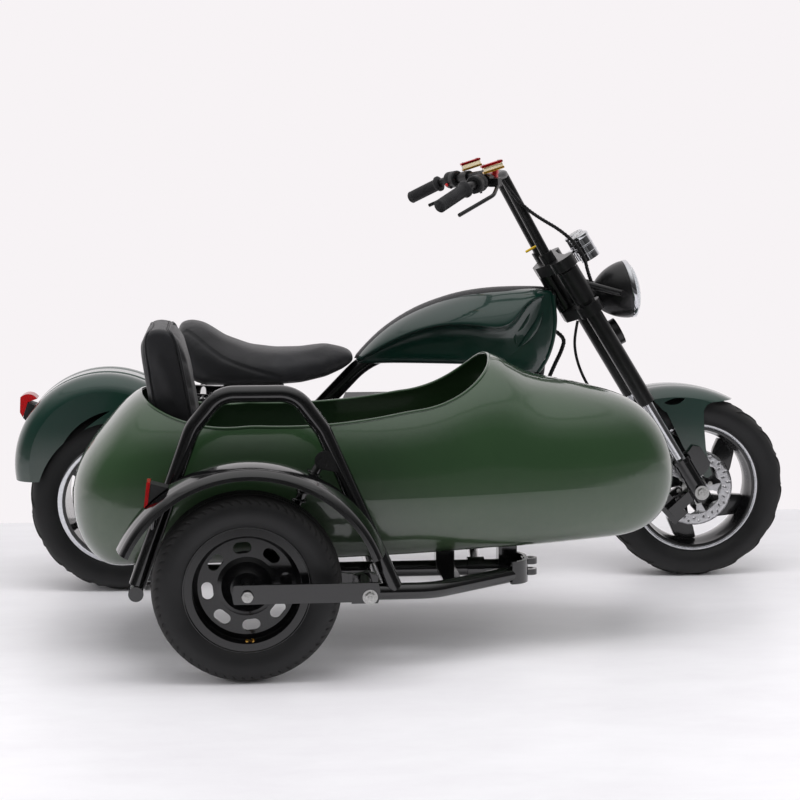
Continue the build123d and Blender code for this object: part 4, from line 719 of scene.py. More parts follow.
bm = bmesh.new()
lathe(bm, BARREL, FRONT_AXLE, steps=144, closed=True)
HUB = [(8.2, -46), (28, -46), (31, -43), (34, -30), (34, 30), (31, 43), (28, 46), (8.2, 46)]
lathe(bm, HUB, FRONT_AXLE, steps=48, closed=True)
for index in range(5):
    blade = bmesh.new()
    outline = [(r * cos(radians(a + 5)), r * sin(radians(a + 5))) for r, a in BLADE]
    plate(blade, outline, -14, 14, around(FRONT_AXLE), 3.0)
    bmesh.ops.rotate(blade, verts=blade.verts, cent=FRONT_AXLE, matrix=Matrix.Rotation(radians(-72 * index), 3, "Y"))
    pour(bm, blade)
finished("front_wheel_casting", bm, FRONT_RIM, "front_wheel", "machined_rim", "front_rim", angle=40)

# %% [markdown]
# The other two rims keep their own shape from the engineering model. The rear one gets a polished
# trim ring on its lip, and the sidecar's pressed wheel a rolled bead, so that the edges catch light.

# %% Rim lips and the sidecar wheel's beads
TRIM_RING = [
    (152.6, 96.2), (158.5, 97.4), (165.4, 96.6), (167.6, 94.0), (167.4, 89.4), (166.4, 89.2), (166.0, 93.6),
    (158.5, 96.2),
]
for side in (-1, 1):
    bm = bmesh.new()
    lathe(bm, [(r, side * a) for r, a in TRIM_RING], REAR_AXLE, steps=144, closed=True)
    finished(f"rear_rim_lip_{'right' if side < 0 else 'left'}", bm, CHROME, "rear_wheel", "machined_rim", angle=40)
bm = bmesh.new()
for ring_r, ring_y, wide in ((139.5, -48.4, 2.6), (128.5, -44.0, 2.2), (121.0, -8.0, 2.0), (68.0, 34.2, 2.4)):
    ring = [(ring_r + wide * cos(radians(a)), ring_y + wide * sin(radians(a))) for a in range(0, 360, 45)]
    lathe(bm, ring, CAR_AXLE, steps=120, closed=True)
finished("sidecar_wheel_beads", bm, WHEEL_BLACK, "sidecar_wheel", "black_wheel", angle=60)

# %% [markdown]
# A floating disc is a ground ring with two rows of drilled holes and a scalloped inner edge, held by
# lugs. The ring is a grid of faces: the holes are faces taken out of it and the scallops follow a
# wave, and Solidify gives it its 4 mm at the end.

# %% Front brake disc
STEPS = 180
DISC_Y, DISC_THICK = -0.0483, 0.0038
bm = bmesh.new()
middle = FRONT_AXLE + ACROSS * DISC_Y
lathe(bm, [(r, 0) for r in (69.0, 76.0, 82.0, 85.5, 91.0, 94.5, 103.8)], middle, steps=STEPS)
bmesh.ops.remove_doubles(bm, verts=bm.verts, dist=1e-6)
taken = []
for face in bm.faces:
    spot = face.calc_center_median() - middle
    out = Vector((spot.x, spot.z)).length * 1000
    count = round((atan2(spot.z, spot.x) % (2 * pi)) / (2 * pi / STEPS))
    if (82 < out < 85.5 and count % 9 == 0) or (91 < out < 94.5 and count % 9 == 4):
        taken.append(face)
bmesh.ops.delete(bm, geom=taken, context="FACES")
for vert in bm.verts:
    spot = vert.co - middle
    out = Vector((spot.x, spot.z)).length * 1000
    if out < 72:
        wave = 1.0 + 0.075 * max(-0.6, sin(atan2(spot.z, spot.x) * 10))
        vert.co = middle + Vector((spot.x * wave, 0, spot.z * wave))
for ring in range(5):
    lug = bmesh.new()
    plate(lug, [(-9, 30), (-6, 52), (-13, 74), (13, 74), (6, 52), (9, 30)], 0, 0.1, around(middle))
    bmesh.ops.rotate(lug, verts=lug.verts, cent=middle, matrix=Matrix.Rotation(radians(72 * ring + 20), 3, "Y"))
    pour(bm, lug)
disc = finished("front_disc_ring", bm, FRONT_DISC_STEEL, "front_wheel", "disc_steel", "front_disc", angle=30)
wall = disc.modifiers.new("thickness", "SOLIDIFY")
wall.thickness, wall.offset = DISC_THICK, 0.0
print("wheels done")

# %% [markdown]
# The seats are foam under leathercloth, pulled tight over a base. Foam pushes the cover out between
# its seams, so each cushion starts a little slim, gets an even skin of small faces, and is blown up
# as cloth with a gentle pressure. How far a point may move is capped, and where the cushion rests it
# may not move at all. Seams, piping and stitches come after, because the even skin would erase them.

# %% Helpers for cushions
def baked(piece):
    """Makes a piece's modifiers part of its mesh."""
    graph = bpy.context.evaluated_depsgraph_get()
    mesh = bpy.data.meshes.new_from_object(piece.evaluated_get(graph), depsgraph=graph)
    old = piece.data
    piece.modifiers.clear()
    piece.data = mesh
    bpy.data.meshes.remove(old)


def puffed(name, bm, voxel_mm, cap_mm, base, fade, pressure):
    """Blows a closed form up as cloth; it is held below base and comes free over the next fade metres."""
    bmesh.ops.remove_doubles(bm, verts=bm.verts, dist=1e-6)
    bmesh.ops.recalc_face_normals(bm, faces=bm.faces)
    mesh = bpy.data.meshes.new(name)
    bm.to_mesh(mesh)
    bm.free()
    pad = bpy.data.objects.new(name, mesh)
    scene.collection.objects.link(pad)
    skin = pad.modifiers.new("even_skin", "REMESH")
    skin.mode = "VOXEL"
    skin.voxel_size = voxel_mm / 1000
    baked(pad)
    calm = bmesh.new()
    calm.from_mesh(pad.data)
    for _ in range(3):
        bmesh.ops.smooth_vert(calm, verts=calm.verts, factor=0.5, use_axis_x=True, use_axis_y=True, use_axis_z=True)
    calm.to_mesh(pad.data)
    calm.free()
    rest = [vert.co.copy() for vert in pad.data.vertices]
    cloth = pad.modifiers.new("foam_push", "CLOTH")
    cloth.settings.use_pressure = True
    cloth.settings.uniform_pressure_force = pressure
    cloth.settings.effector_weights.gravity = 0
    cloth.settings.quality = 3
    cloth.point_cache.frame_start, cloth.point_cache.frame_end = 1, 20
    for frame_number in range(1, 21):
        scene.frame_set(frame_number)
    baked(pad)
    scene.frame_set(1)
    for vert, before in zip(pad.data.vertices, rest):
        move = vert.co - before
        if move.length > cap_mm / 1000:
            move = move.normalized() * cap_mm / 1000
        vert.co = before + move * min(1.0, max(0.0, (before.z - base) / fade))
    soft = pad.modifiers.new("smooth_skin", "SUBSURF")
    soft.levels = soft.render_levels = 1
    baked(pad)
    for polygon in pad.data.polygons:
        polygon.use_smooth = True
    pad.data.materials.clear()
    pad.data.materials.append(LEATHER)
    return pad


def smooth_line(points, resolution, closed=False, radius=0.0, sides=2):
    """A smooth line through the given course as a mesh, round if it has a radius."""
    line = bpy.data.curves.new("line", "CURVE")
    line.dimensions = "3D"
    line.bevel_depth = radius
    line.bevel_resolution = sides
    line.resolution_u = resolution
    run = line.splines.new("NURBS")
    run.points.add(len(points) - 1)
    for knot, point in zip(run.points, points):
        knot.co = (*point, 1)
    run.order_u = 3
    run.use_endpoint_u = not closed
    run.use_cyclic_u = closed
    line.use_fill_caps = radius > 0
    holder = bpy.data.objects.new("line", line)
    scene.collection.objects.link(holder)
    bpy.context.view_layer.update()
    mesh = bpy.data.meshes.new_from_object(holder.evaluated_get(bpy.context.evaluated_depsgraph_get()))
    bpy.data.objects.remove(holder)
    bpy.data.curves.remove(line)
    return mesh


def strand(points, radius, sides=2, closed=False):
    """A round cord along a smooth line, as a mesh."""
    return smooth_line(points, 6, closed, radius, sides)


def centre_line(points, closed=False):
    """The points of that smooth line itself, closely spaced and in order."""
    mesh = smooth_line(points, 12, closed)
    trail = [vert.co.copy() for vert in mesh.vertices]
    bpy.data.meshes.remove(mesh)
    return trail


def even(trail, step_mm):
    """The same line at even steps: (point, direction) pairs."""
    spots, carried = [], 0.0
    for here, there in zip(trail, trail[1:]):
        span = (there - here).length
        while carried <= span and span > 0:
            spots.append((here.lerp(there, carried / span), (there - here).normalized()))
            carried += step_mm / 1000
        carried -= span
    return spots


def skin_of(mesh):
    """A mesh's surface, ready to be searched."""
    return BVHTree.FromPolygons([v.co for v in mesh.vertices], [p.vertices for p in mesh.polygons])


def onto(pad, points, lift_mm=0.0):
    """Points moved to the nearest place on a cushion, then lifted off it."""
    skin = skin_of(pad.data)
    near = [skin.find_nearest(point) for point in points]
    return [spot + normal * lift_mm / 1000 for spot, normal, _, _ in near]


def outward(pad):
    """Each point's normal, copied first, because each moved point makes Blender find them all again."""
    return [vert.normal.copy() for vert in pad.data.vertices]


def press_seam(pad, trail, wide_mm, deep_mm):
    """Presses a soft valley into a cushion along a line on it."""
    spots = KDTree(len(trail))
    for index, point in enumerate(trail):
        spots.insert(point, index)
    spots.balance()
    for vert, normal in zip(pad.data.vertices, outward(pad)):
        _, _, reach = spots.find(vert.co)
        if reach < wide_mm / 1000:
            fade = (1 - (reach * 1000 / wide_mm) ** 2) ** 2
            vert.co -= normal * fade * deep_mm / 1000


def joined(meshes):
    """Several meshes in one bmesh; the meshes are used up."""
    bm = bmesh.new()
    for mesh in meshes:
        lay(bm, mesh)
    return bm


THREAD = soft_rubber("black_thread", chart(30, 30, 31), chart(44, 44, 46), 0.7)
PITCH, LENGTH, THREAD_R, PROUD = 6.5, 0.0042, 0.0007, 0.35


def stitches(pad, lines, name):
    """Short thread stitches along lines on a cushion."""
    bm = bmesh.new()
    for trail in lines:
        spots = even(trail, PITCH)
        seats = onto(pad, [spot for spot, _ in spots], PROUD)
        for seat, (_, along) in zip(seats, spots):
            place = Matrix.Translation(seat) @ along.to_track_quat("Z", "Y").to_matrix().to_4x4()
            bmesh.ops.create_cone(
                bm, cap_ends=True, segments=5, radius1=THREAD_R, radius2=THREAD_R, depth=LENGTH, matrix=place
            )
    finished(name, bm, THREAD, "outfit", "black_leather", angle=60)


def hung(pad, node):
    """A finished cushion takes its place on the outfit, for the CAD node it stands for."""
    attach(pad, "outfit")
    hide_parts(node)


# %% [markdown]
# The rider's saddle is one long scoop. Its rings are drawn as circles, stretched to each section's
# width and height, and bridged. A curved seam runs down each side from the rear hump to the lower
# edge, where the side panel meets the top panel.

# %% Saddle
# columns: forward, half width, top, bottom, height of the widest line, all mm
SADDLE = [
    (158, 84, 700, 604, 652), (172, 112, 712, 572, 632), (192, 128, 714, 550, 612), (224, 138, 701, 538, 596),
    (276, 143, 664, 538, 582), (342, 142, 639, 539, 578), (409, 137, 630, 540, 576), (475, 124, 631, 544, 580),
    (542, 98, 641, 560, 594), (587, 70, 643, 582, 609), (608, 50, 634, 596, 612), (616, 34, 622, 602, 611),
]
UPPER_FULLNESS, LOWER_FULLNESS = 2.3, 3.0
PANEL_SEAM = [
    (166, 92, 706), (196, 112, 694), (232, 130, 664), (276, 141, 628), (330, 145, 600), (376, 145, 584),
    (408, 142, 570), (438, 134, 548),
]
STITCH_LINE = [
    (166, 90, 706), (196, 110, 696), (232, 128, 668), (276, 139, 633), (330, 144, 606), (376, 144, 590),
    (408, 141, 577), (438, 133, 556),
]


def egg_ring(bm, x, half, top, bottom, wide):
    """A closed ring across the bike, fuller below its widest line than a circle."""
    ring = bmesh.ops.create_circle(bm, segments=28, radius=1.0)["verts"]
    for vert in ring:
        c, s = vert.co.x, vert.co.y
        power = 2.0 / (UPPER_FULLNESS if s > 0 else LOWER_FULLNESS)
        height = copysign(abs(s) ** power, s) * (top - wide if s > 0 else wide - bottom)
        vert.co = at(x, copysign(abs(c) ** power, c) * half, wide + height)
    return ring


def bridged(bm, rings):
    """Skins a row of rings and closes both ends."""
    loops = [list({edge for vert in ring for edge in vert.link_edges}) for ring in rings]
    for near, far in zip(loops, loops[1:]):
        bmesh.ops.bridge_loops(bm, edges=near + far)
    for ring in (rings[0], rings[-1]):
        touching = {edge for vert in ring for edge in vert.link_edges}
        bmesh.ops.contextual_create(bm, geom=[e for e in touching if e.verts[0] in ring and e.verts[1] in ring])


bm = bmesh.new()
bridged(bm, [egg_ring(bm, x, half - 4, top - 4, bottom + 1, wide) for x, half, top, bottom, wide in SADDLE])
saddle = puffed("rider_saddle", bm, 7.5, 7, 0.545, 0.04, 3.0)
for side in (-1, 1):
    seam = centre_line([at(x, side * y, z) for x, y, z in PANEL_SEAM])
    press_seam(saddle, onto(saddle, seam), 9, 2.6)
lines = [onto(saddle, centre_line([at(x, side * y, z + 5) for x, y, z in STITCH_LINE]), 0.2) for side in (-1, 1)]
stitches(saddle, lines, "saddle_stitches")
hung(saddle, "saddle")
print("saddle points", len(saddle.data.vertices))

# %% [markdown]
# The passenger's backrest is a boxed cushion: a front panel and a back panel joined by a wide
# gusset, with piping sewn into the front seam. The foam crowns the front panel, and the cloth
# creases a little where it faces forward.

# %% Backrest
BACKREST = [
    (132, 322), (216, 322), (219, 378), (212, 470), (203, 560), (188, 650), (170, 726), (160, 748), (144, 760),
    (118, 764), (98, 757), (88, 738), (92, 690), (108, 580), (120, 470),
]
bm = bmesh.new()
plate(bm, BACKREST, CAR_Y - 126, CAR_Y + 126, at, 13.0)
backrest = puffed("backrest", bm, 7.5, 8, 0.335, 0.05, 3.5)
FRONT_EDGE = [(219, 340), (216, 420), (210, 500), (200, 575), (187, 648), (173, 712), (163, 742)]
FRONT_TOP = [(158, -112, 753), (155, -90, 758), (155, 0, 759), (155, 90, 758), (158, 112, 753)]
BACK_EDGE = [(118, 340), (112, 440), (104, 540), (94, 640), (88, 715), (92, 745)]
BACK_TOP = [(98, -108, 757), (104, 0, 762), (98, 108, 757)]


def piped(edge, top, lift, wide, deep):
    """A seam up one side of the backrest, over its top and down the other, pressed in: (course, cord line)."""
    course = [(x, -121, z) for x, z in edge] + top + [(x, 121, z) for x, z in reversed(edge)]
    line = onto(backrest, [at(x, CAR_Y + y, z) for x, y, z in course], lift)
    press_seam(backrest, onto(backrest, centre_line(line)), wide, deep)
    return course, line


front_course, piping = piped(FRONT_EDGE, FRONT_TOP, 0.6, 8, 1.8)
_, rear_piping = piped(BACK_EDGE, BACK_TOP, 0.4, 7, 1.5)
for vert, normal in zip(backrest.data.vertices, outward(backrest)):
    crease = noise.noise(Vector((vert.co.x * 18, vert.co.y * 9, vert.co.z * 34)))
    facing = max(0.0, normal.x - 0.3)
    vert.co -= normal * 0.0016 * facing * max(0.0, crease)
bm = joined([strand(piping, 0.0034), strand(rear_piping, 0.0026)])
finished("backrest_piping", bm, LEATHER, "outfit", "black_leather", angle=60)
inner = onto(backrest, centre_line([at(x - 9, CAR_Y + y * 1.02, z + 3) for x, y, z in front_course]), 0.2)
stitches(backrest, [inner], "backrest_stitches")
hung(backrest, "sidecar_backrest")

# %% [markdown]
# The passenger's seat lies in the cockpit on its bench. Sewn channels run fore and aft, so the foam
# stands in low rolls between them.

# %% Passenger seat
SEAT = [(236, 320), (546, 320), (556, 346), (538, 388), (252, 378), (230, 364)]
SEAT_BORDER = [(246, -158), (246, 0), (246, 158), (400, 162), (536, 158), (544, 0), (536, -158), (400, -162)]
bm = bmesh.new()
plate(bm, SEAT, CAR_Y - 170, CAR_Y + 170, at, 12.0)
cushion = puffed("passenger_seat", bm, 8.0, 9, 0.325, 0.03, 3.5)
for across in (-112, -56, 0, 56, 112):
    trail = onto(cushion, [at(x, CAR_Y + across, 395) for x in range(250, 541, 6)])
    press_seam(cushion, trail, 13, 4.0)
border = [at(x, CAR_Y + y, 392) for x, y in SEAT_BORDER]
press_seam(cushion, onto(cushion, centre_line(border, True), 0.4), 7, 2.0)
edge = strand(onto(cushion, border, 0.5), 0.003, 2, True)
finished("seat_piping", joined([edge]), LEATHER, "outfit", "black_leather", angle=60)
hung(cushion, "sidecar_seat")
print("cushions sewn")

# %% [markdown]
# The tank cover is a long teardrop with a sharp flare along each side: above it the side bulges, and
# below it tucks in towards the frame. At the front the flare curls up to meet the strip on top. The
# cover is a row of rings bridged together, with two lines of points close beside each other where the
# flare must stay sharp, and a subdivision surface draws the smooth skin between the rings.

# %% Tank cover
# columns: forward, top, flare half width, flare height, lower half width, lower height, bottom, all mm
TANK = [
    (622, 606, 24, 597, 16, 588, 583), (648, 635, 46, 616, 28, 597, 585), (683, 671, 65, 638, 40, 602, 588),
    (726, 703, 82, 663, 48, 605, 589), (776, 732, 95, 685, 53, 604, 588), (838, 757, 104, 701, 57, 601, 587),
    (903, 776, 110, 704, 59, 598, 585), (954, 783, 112, 697, 59, 596, 584), (994, 787, 111, 692, 58, 594, 583),
    (1022, 788, 107, 697, 57, 594, 582), (1042, 789, 98, 716, 56, 600, 582), (1064, 789, 86, 745, 55, 612, 586),
    (1088, 789, 72, 763, 54, 640, 600), (1112, 788, 62, 770, 53, 690, 640), (1138, 786, 52, 774, 48, 740, 720),
]


def tank_ring(bm, x, top, wide, flare, low_y, low_z, bottom):
    """One ring of the tank cover; the right half's points run from the top down."""
    drop = top - flare
    half = [
        (0, top), (wide * 0.26, top - drop * 0.03), (wide * 0.56, top - drop * 0.20), (wide * 0.84, top - drop * 0.56),
        (wide * 0.97, top - drop * 0.88), (wide, flare), (wide - 3, flare - 3.5),
        (low_y + (wide - low_y) * 0.45, flare - 9), (low_y + 4, flare - (flare - low_z) * 0.35), (low_y, low_z),
        (low_y - 9, bottom + 1), (0, bottom),
    ]
    whole = half + [(-y, z) for y, z in reversed(half[1:-1])]
    ring = bmesh.ops.create_circle(bm, segments=len(whole), radius=1.0)["verts"]
    for vert, (y, z) in zip(ring, whole):
        vert.co = at(x, -y, z)
    return ring


bm = bmesh.new()
bridged(bm, [tank_ring(bm, *row) for row in TANK])
finished("tank_cover_skin", bm, TEAL, "outfit", "teal_paint", "tank_cover", angle=70, levels=2)

# %% [markdown]
# Under the curl stands the nose panel, a thick plate with a rolled front edge. Three lens-shaped fins
# stand off its side one behind the other. Each fin's outline is an arc and a flatter arc between two
# points, pushed out a few millimetres and rounded.

# %% Nose panel and fins
NOSE = [
    (1012, 562), (1012, 600), (1012, 700), (1030, 722), (1052, 752), (1080, 772), (1110, 781), (1146, 783), (1150, 742),
    (1153, 700), (1147, 650), (1136, 614), (1121, 584), (1106, 562),
]
bm = bmesh.new()
plate(bm, NOSE, -56, 56, at, 9.0)
finished("nose_panel", bm, TEAL, "outfit", "teal_paint", "leg_shield", angle=30)


def bowed(first, last, bulge, count=7):
    """Points from first to last along an arc whose middle stands off by bulge."""
    spots = []
    for index in range(count + 1):
        share = index / count
        lift = 4 * share * (1 - share)
        spots.append(tuple(a + (b - a) * share + c * lift for a, b, c in zip(first, last, bulge)))
    return spots


ROLLED_EDGE = [(1149, 772), (1154, 722), (1155, 694), (1149, 648), (1138, 612), (1123, 582), (1110, 565)]
FINS = [((1119, 728), (1054, 632), (13, -9)), ((1084, 726), (1049, 673), (10, -6)), ((1030, 690), (1048, 640), (9, 4))]
bm = bmesh.new()
for first, last, bulge in FINS:
    outline = bowed(first, last, bulge) + bowed(last, first, (bulge[0] * -0.1, bulge[1] * -0.1))[1:-1]
    for low, high in ((-61, -56), (56, 61)):
        plate(bm, outline, low, high, at, 1.6)
for side in (-1, 1):
    lay(bm, strand([at(x, side * 52.5, z) for x, z in ROLLED_EDGE], 0.0045, 3))
finished("nose_fins", bm, TEAL, "outfit", "teal_paint", angle=40)

# %% [markdown]
# A strip of matt leathercloth runs over the tank's crown from the seat to the head. It is a crowned
# band, made as a row of flattened rings.

# %% Tank strip
# columns: forward, top, half width, all mm
STRIP = [
    (618, 606, 20), (650, 640, 27), (683, 673, 32), (722, 702, 35), (761, 726, 37), (800, 745, 38), (838, 759, 39),
    (880, 772, 39), (915, 780, 39), (955, 786, 38), (992, 789.5, 37), (1030, 791, 36), (1070, 791.5, 34),
    (1108, 791, 31), (1140, 789, 27),
]
STRIP_SAG, STRIP_HALF_THICK = 9.5, 2.6
bm = bmesh.new()
rings = []
for x, top, half in STRIP:
    ring = bmesh.ops.create_circle(bm, segments=16, radius=1.0)["verts"]
    for vert in ring:
        across, height = vert.co.x, vert.co.y
        vert.co = at(x, across * half, top - 1.0 - STRIP_SAG * across**2 + (STRIP_HALF_THICK * height))
    rings.append(ring)
bridged(bm, rings)
finished("tank_strip", bm, LEATHER, "outfit", "teal_paint", angle=60, levels=1)
print("tank made")

# %% [markdown]
# A shock absorber is a polished rod and a black body inside a coil spring. The spring is one round
# wire along a helix between two seats. Its first and last turns lie nearly flat, so the pitch grows
# in the middle.

# %% Shock absorbers
TURNS, SEAT_SHARES = 9, (0.13, 0.84)
EYE = [(5, -11), (10, -11), (12.6, -9), (12.6, 9), (10, 11), (5, 11)]


def spring_shock(name, tops, node, body_r, coil_r, wire):
    """A shock between two points for each pair in tops, standing for a CAD node."""
    metals, blacks = bmesh.new(), bmesh.new()
    seat = [(5, -3), (coil_r - 2, -3), (coil_r + 1, -1.5), (coil_r + 1, 1.5), (coil_r - 2, 3), (5, 3)]
    for top, low in tops:
        axis = low - top
        long = axis.length * 1000
        down = axis.normalized()
        body = [(0, 8), (body_r - 3, 8), (body_r, 14), (body_r, long * 0.60), (body_r - 2, long * 0.62)]
        lathe(metals, [(0, long * 0.55), (6.8, long * 0.55), (6.8, long - 8), (0, long - 8)], top, down, 24)
        lathe(blacks, body + [(0, long * 0.62)], top, down, 32)
        for share in SEAT_SHARES:
            lathe(blacks, [(r, long * share + a) for r, a in seat], top, down, 40, True)
        side = down.orthogonal().normalized()
        other = down.cross(side)
        points = []
        total = TURNS * 14
        for index in range(total + 1):
            share = index / total
            eased = share - 0.06 * sin(2 * pi * share)
            angle = 2 * pi * TURNS * share
            reach = top + axis * (0.145 + (SEAT_SHARES[1] - 0.16) * eased)
            points.append(reach + (side * cos(angle) + other * sin(angle)) * (coil_r - wire) / 1000)
        lay(blacks, strand(points, wire / 1000))
        for end in (top, low):
            lathe(blacks, EYE, end, ACROSS, 32, True)
    finished(name + "_rods", metals, CHROME, "outfit", "black_satin", angle=40)
    finished(name + "_springs", blacks, BLACK_GLOSS, "outfit", "black_satin", node, angle=45)


pairs = [(at(216, side * 152.3, 508), at(52, side * 152.3, 290)) for side in (-1, 1)]
spring_shock("rear_shock", pairs, "rear_shocks", 14, 23, 3.8)
spring_shock("sidecar_shock", [(at(488, -864, 470), at(366, -864, 262))], "sidecar_shock", 11, 18, 3.0)
print("shocks made")

# %% [markdown]
# The cockpit's rim is finished with a rolled bead of the same paint. The rim's side view is three
# arcs, so the bead's points are taken along them. A ray from outside at each height then finds the
# hull's skin, so the bead sits on the lip all the way round.

# %% Cockpit lip
RIM_ARCS = [
    ((66, 608), (160, 556), (330, 539)), ((330, 539), (520, 541), (700, 566)), ((700, 566), (830, 611), (904, 688)),
]


def arc_through(a, b, c, count):
    """Points on the circle through three points, from the first to the last."""
    a, b, c = (Vector(p) for p in (a, b, c))
    ends = []
    for start, stop in ((a, b), (b, c)):
        square = (stop - start).orthogonal() * 1000
        ends += [(start + stop) / 2 - square, (start + stop) / 2 + square]
    centre = intersect_line_line_2d(*ends)
    first, last = a - centre, c - centre
    turn = atan2(first.x * last.y - first.y * last.x, first.dot(last))
    return [centre + Matrix.Rotation(turn * index / count, 2) @ first for index in range(count + 1)]


hull_skin = skin_of(bpy.data.objects["sidecar_shell"].data)
rim = [p for row in RIM_ARCS for p in arc_through(*row, 26)[:-1]] + [Vector(RIM_ARCS[-1][2])]
lip = []
for side, run in ((-1, rim), (1, reversed(rim))):
    for x, z in run:
        spot, _, _, _ = hull_skin.ray_cast(at(x, CAR_Y + side * 330, z - 1.2), Vector((0, -side, 0)), 0.33)
        if spot:
            lip.append(Vector((spot.x, spot.y - side * 0.0022, spot.z + 0.001)))
bead = strand(lip[::2], 0.0042, 2, True)
finished("cockpit_lip", joined([bead]), OLIVE, "outfit", "olive_paint", angle=60)
print("cockpit lip", len(lip), "points")

# %% [markdown]
# The rider's feet rest on boards with rubber ribs, which stand up in a row across each board.

# %% Floor mats on the footboards
FIRST_RIB, RIB_PITCH = 704, 15.5
bm = bmesh.new()
for side in (-1, 1):
    for index in range(13):
        x = FIRST_RIB + index * RIB_PITCH
        lying = Matrix.Translation(at(x, side * 141, 277.5)) @ Matrix.Rotation(radians(90), 4, "X")
        bmesh.ops.create_cone(bm, cap_ends=True, segments=8, radius1=0.003, radius2=0.003, depth=0.076, matrix=lying)
finished("footboard_ribs", bm, GRIP_RUBBER, "outfit", "black_satin", angle=60)

# %% [markdown]
# The headlamp is a black bucket with a bright ring, a mirror bowl, a bulb and a domed glass. All of
# them are turned about the lamp's own axis, which points forward and a little up.

# %% Headlamp
LAMP = at(1362, 0, 783)
AIM = Vector((cos(radians(11)), 0, sin(radians(11))))
GLASS = [
    (69.6, 0), (70.8, 2.4), (64, 14), (52, 19.5), (36, 24), (18, 27), (0, 28), (0, 25.6), (18, 24.6), (36, 21.6),
    (52, 17.2), (62, 12), (67.5, 1),
]
BOWL = [
    (69.8, 0.4), (66, -8), (58, -18), (46, -28), (30, -35), (13, -38.5), (13, -41), (31, -37.4), (47.6, -30),
    (60, -19.6), (68.2, -8.6), (70.6, -0.6),
]
LAMP_RING = [(70.2, 0.4), (72, 4.5), (76.5, 6.8), (79, 4.4), (79, -3), (77.4, -6), (77.2, 0.2)]
BULB = [(0, 6), (7, 4), (9.5, -3), (9.5, -20), (12.6, -24), (12.6, -38), (0, -38)]


def turned(name, profile, centre, axis, steps, closed, look, slot, *nodes, angle=50):
    """A piece of the fork that is one turned profile."""
    bm = bmesh.new()
    lathe(bm, profile, centre, axis, steps, closed)
    finished(name, bm, look, "fork", slot, *nodes, angle=angle)


turned("headlamp_glass", GLASS, LAMP, AIM, 96, True, LAMP_GLASS, "lamp_glass", "headlamp_lens", angle=60)
turned("headlamp_ring", LAMP_RING, LAMP, AIM, 96, True, CHROME, "chrome")
turned("headlamp_bowl", BOWL, LAMP, AIM, 72, True, CHROME, "chrome")
turned("headlamp_bulb", BULB, LAMP, AIM, 40, False, CHROME, "chrome")

# %% [markdown]
# The two instruments are chromed cups. Each has a plain dial under glass, with ticks, a needle and a
# stepped chrome rim. The dial's ticks are small plates laid round a circle.

# %% Instruments
BEZEL = [(25.9, -9), (27.4, -7), (27.4, -1), (25.2, 1.6), (22.6, 1.6), (22.2, -1.4), (22.2, -5), (25.9, -9)]
CRYSTAL = [(0, 2.6), (14, 2.2), (22.4, 1.2), (22.4, 0.9), (14, 1.9), (0, 2.3)]
for side, label in ((-1, "right"), (1, "left")):
    face = on_fork(753, side * 34, -78)
    bm = bmesh.new()
    lathe(bm, BEZEL, face, UP_FORK, 56)
    for z in (-52, -30):
        lathe(bm, [(26.0, z - 2.4), (27.0, z - 1.4), (27.0, z + 1.4), (26.0, z + 2.4)], face, UP_FORK, 56, True)
    finished(f"gauge_ring_{label}", bm, CHROME, "fork", "chrome", angle=40)
    dial = [(0, 0.4), (22.4, 0.4)]
    turned(f"gauge_dial_{label}", dial, face, UP_FORK, 48, False, BLACK_PLASTIC, "chrome", angle=40)
    bm = bmesh.new()
    for tick in range(41):
        turn = radians(-135 + tick * 270 / 40)
        long = 3.4 if tick % 5 == 0 else 1.8
        mark = bmesh.ops.create_cube(bm, size=1.0)["verts"]
        bmesh.ops.scale(bm, vec=(0.0006 if tick % 5 else 0.0009, long / 1000, 0.0003), verts=mark)
        bmesh.ops.translate(bm, vec=(0, 0.0195 - long / 2000, 0), verts=mark)
        bmesh.ops.rotate(bm, verts=mark, cent=(0, 0, 0), matrix=Matrix.Rotation(-turn, 3, "Z"))
    needle = bmesh.ops.create_cone(bm, cap_ends=True, segments=6, radius1=0.0010, radius2=0.0003, depth=0.017)["verts"]
    swung = Matrix.Rotation(radians(120), 3, "Z") @ Matrix.Rotation(radians(-90), 3, "X")
    bmesh.ops.rotate(bm, verts=needle, cent=(0, 0, 0), matrix=swung)
    bmesh.ops.translate(bm, vec=(0.004, -0.004, 0.0012), verts=needle)
    facing = Matrix((-ACROSS, -BEHIND_FORK, UP_FORK)).transposed().to_4x4()
    bmesh.ops.transform(bm, matrix=Matrix.Translation(face + UP_FORK * 0.0008) @ facing, verts=bm.verts)
    finished(f"gauge_marks_{label}", bm, DIAL_WHITE, "fork", "chrome", angle=40)
    turned(f"gauge_glass_{label}", CRYSTAL, face, UP_FORK, 48, False, LAMP_GLASS, "lamp_glass", angle=60)
print("lamp and instruments made")

# %% [markdown]
# At the grips the real parts are small and busy: a reservoir with a gold foot and a red lid, a red
# clamp, a switch pod with buttons, and a ribbed grip. Everything is placed in a frame on the bar, so
# both sides come from the same few lines.

# %% Controls
BEND, GRIP_INNER, GRIP_OUTER = (1004.0, 120.0, 1092.0), (893.0, 285.0, 1066.0), (806.0, 361.0, 1017.0)


def on_bar(share, side):
    """A frame on the bar: z runs along it outwards, y points down and x is level."""
    spot = [a + (b - a) * share for a, b in zip(BEND, GRIP_INNER)]
    along = Vector(b - a for a, b in zip(BEND, GRIP_INNER))
    along.y *= side
    along.normalize()
    level = UP.cross(along).normalized()
    base = Matrix((level, along.cross(level), along)).transposed().to_4x4()
    return Matrix.Translation(at(spot[0], side * spot[1], spot[2])) @ base


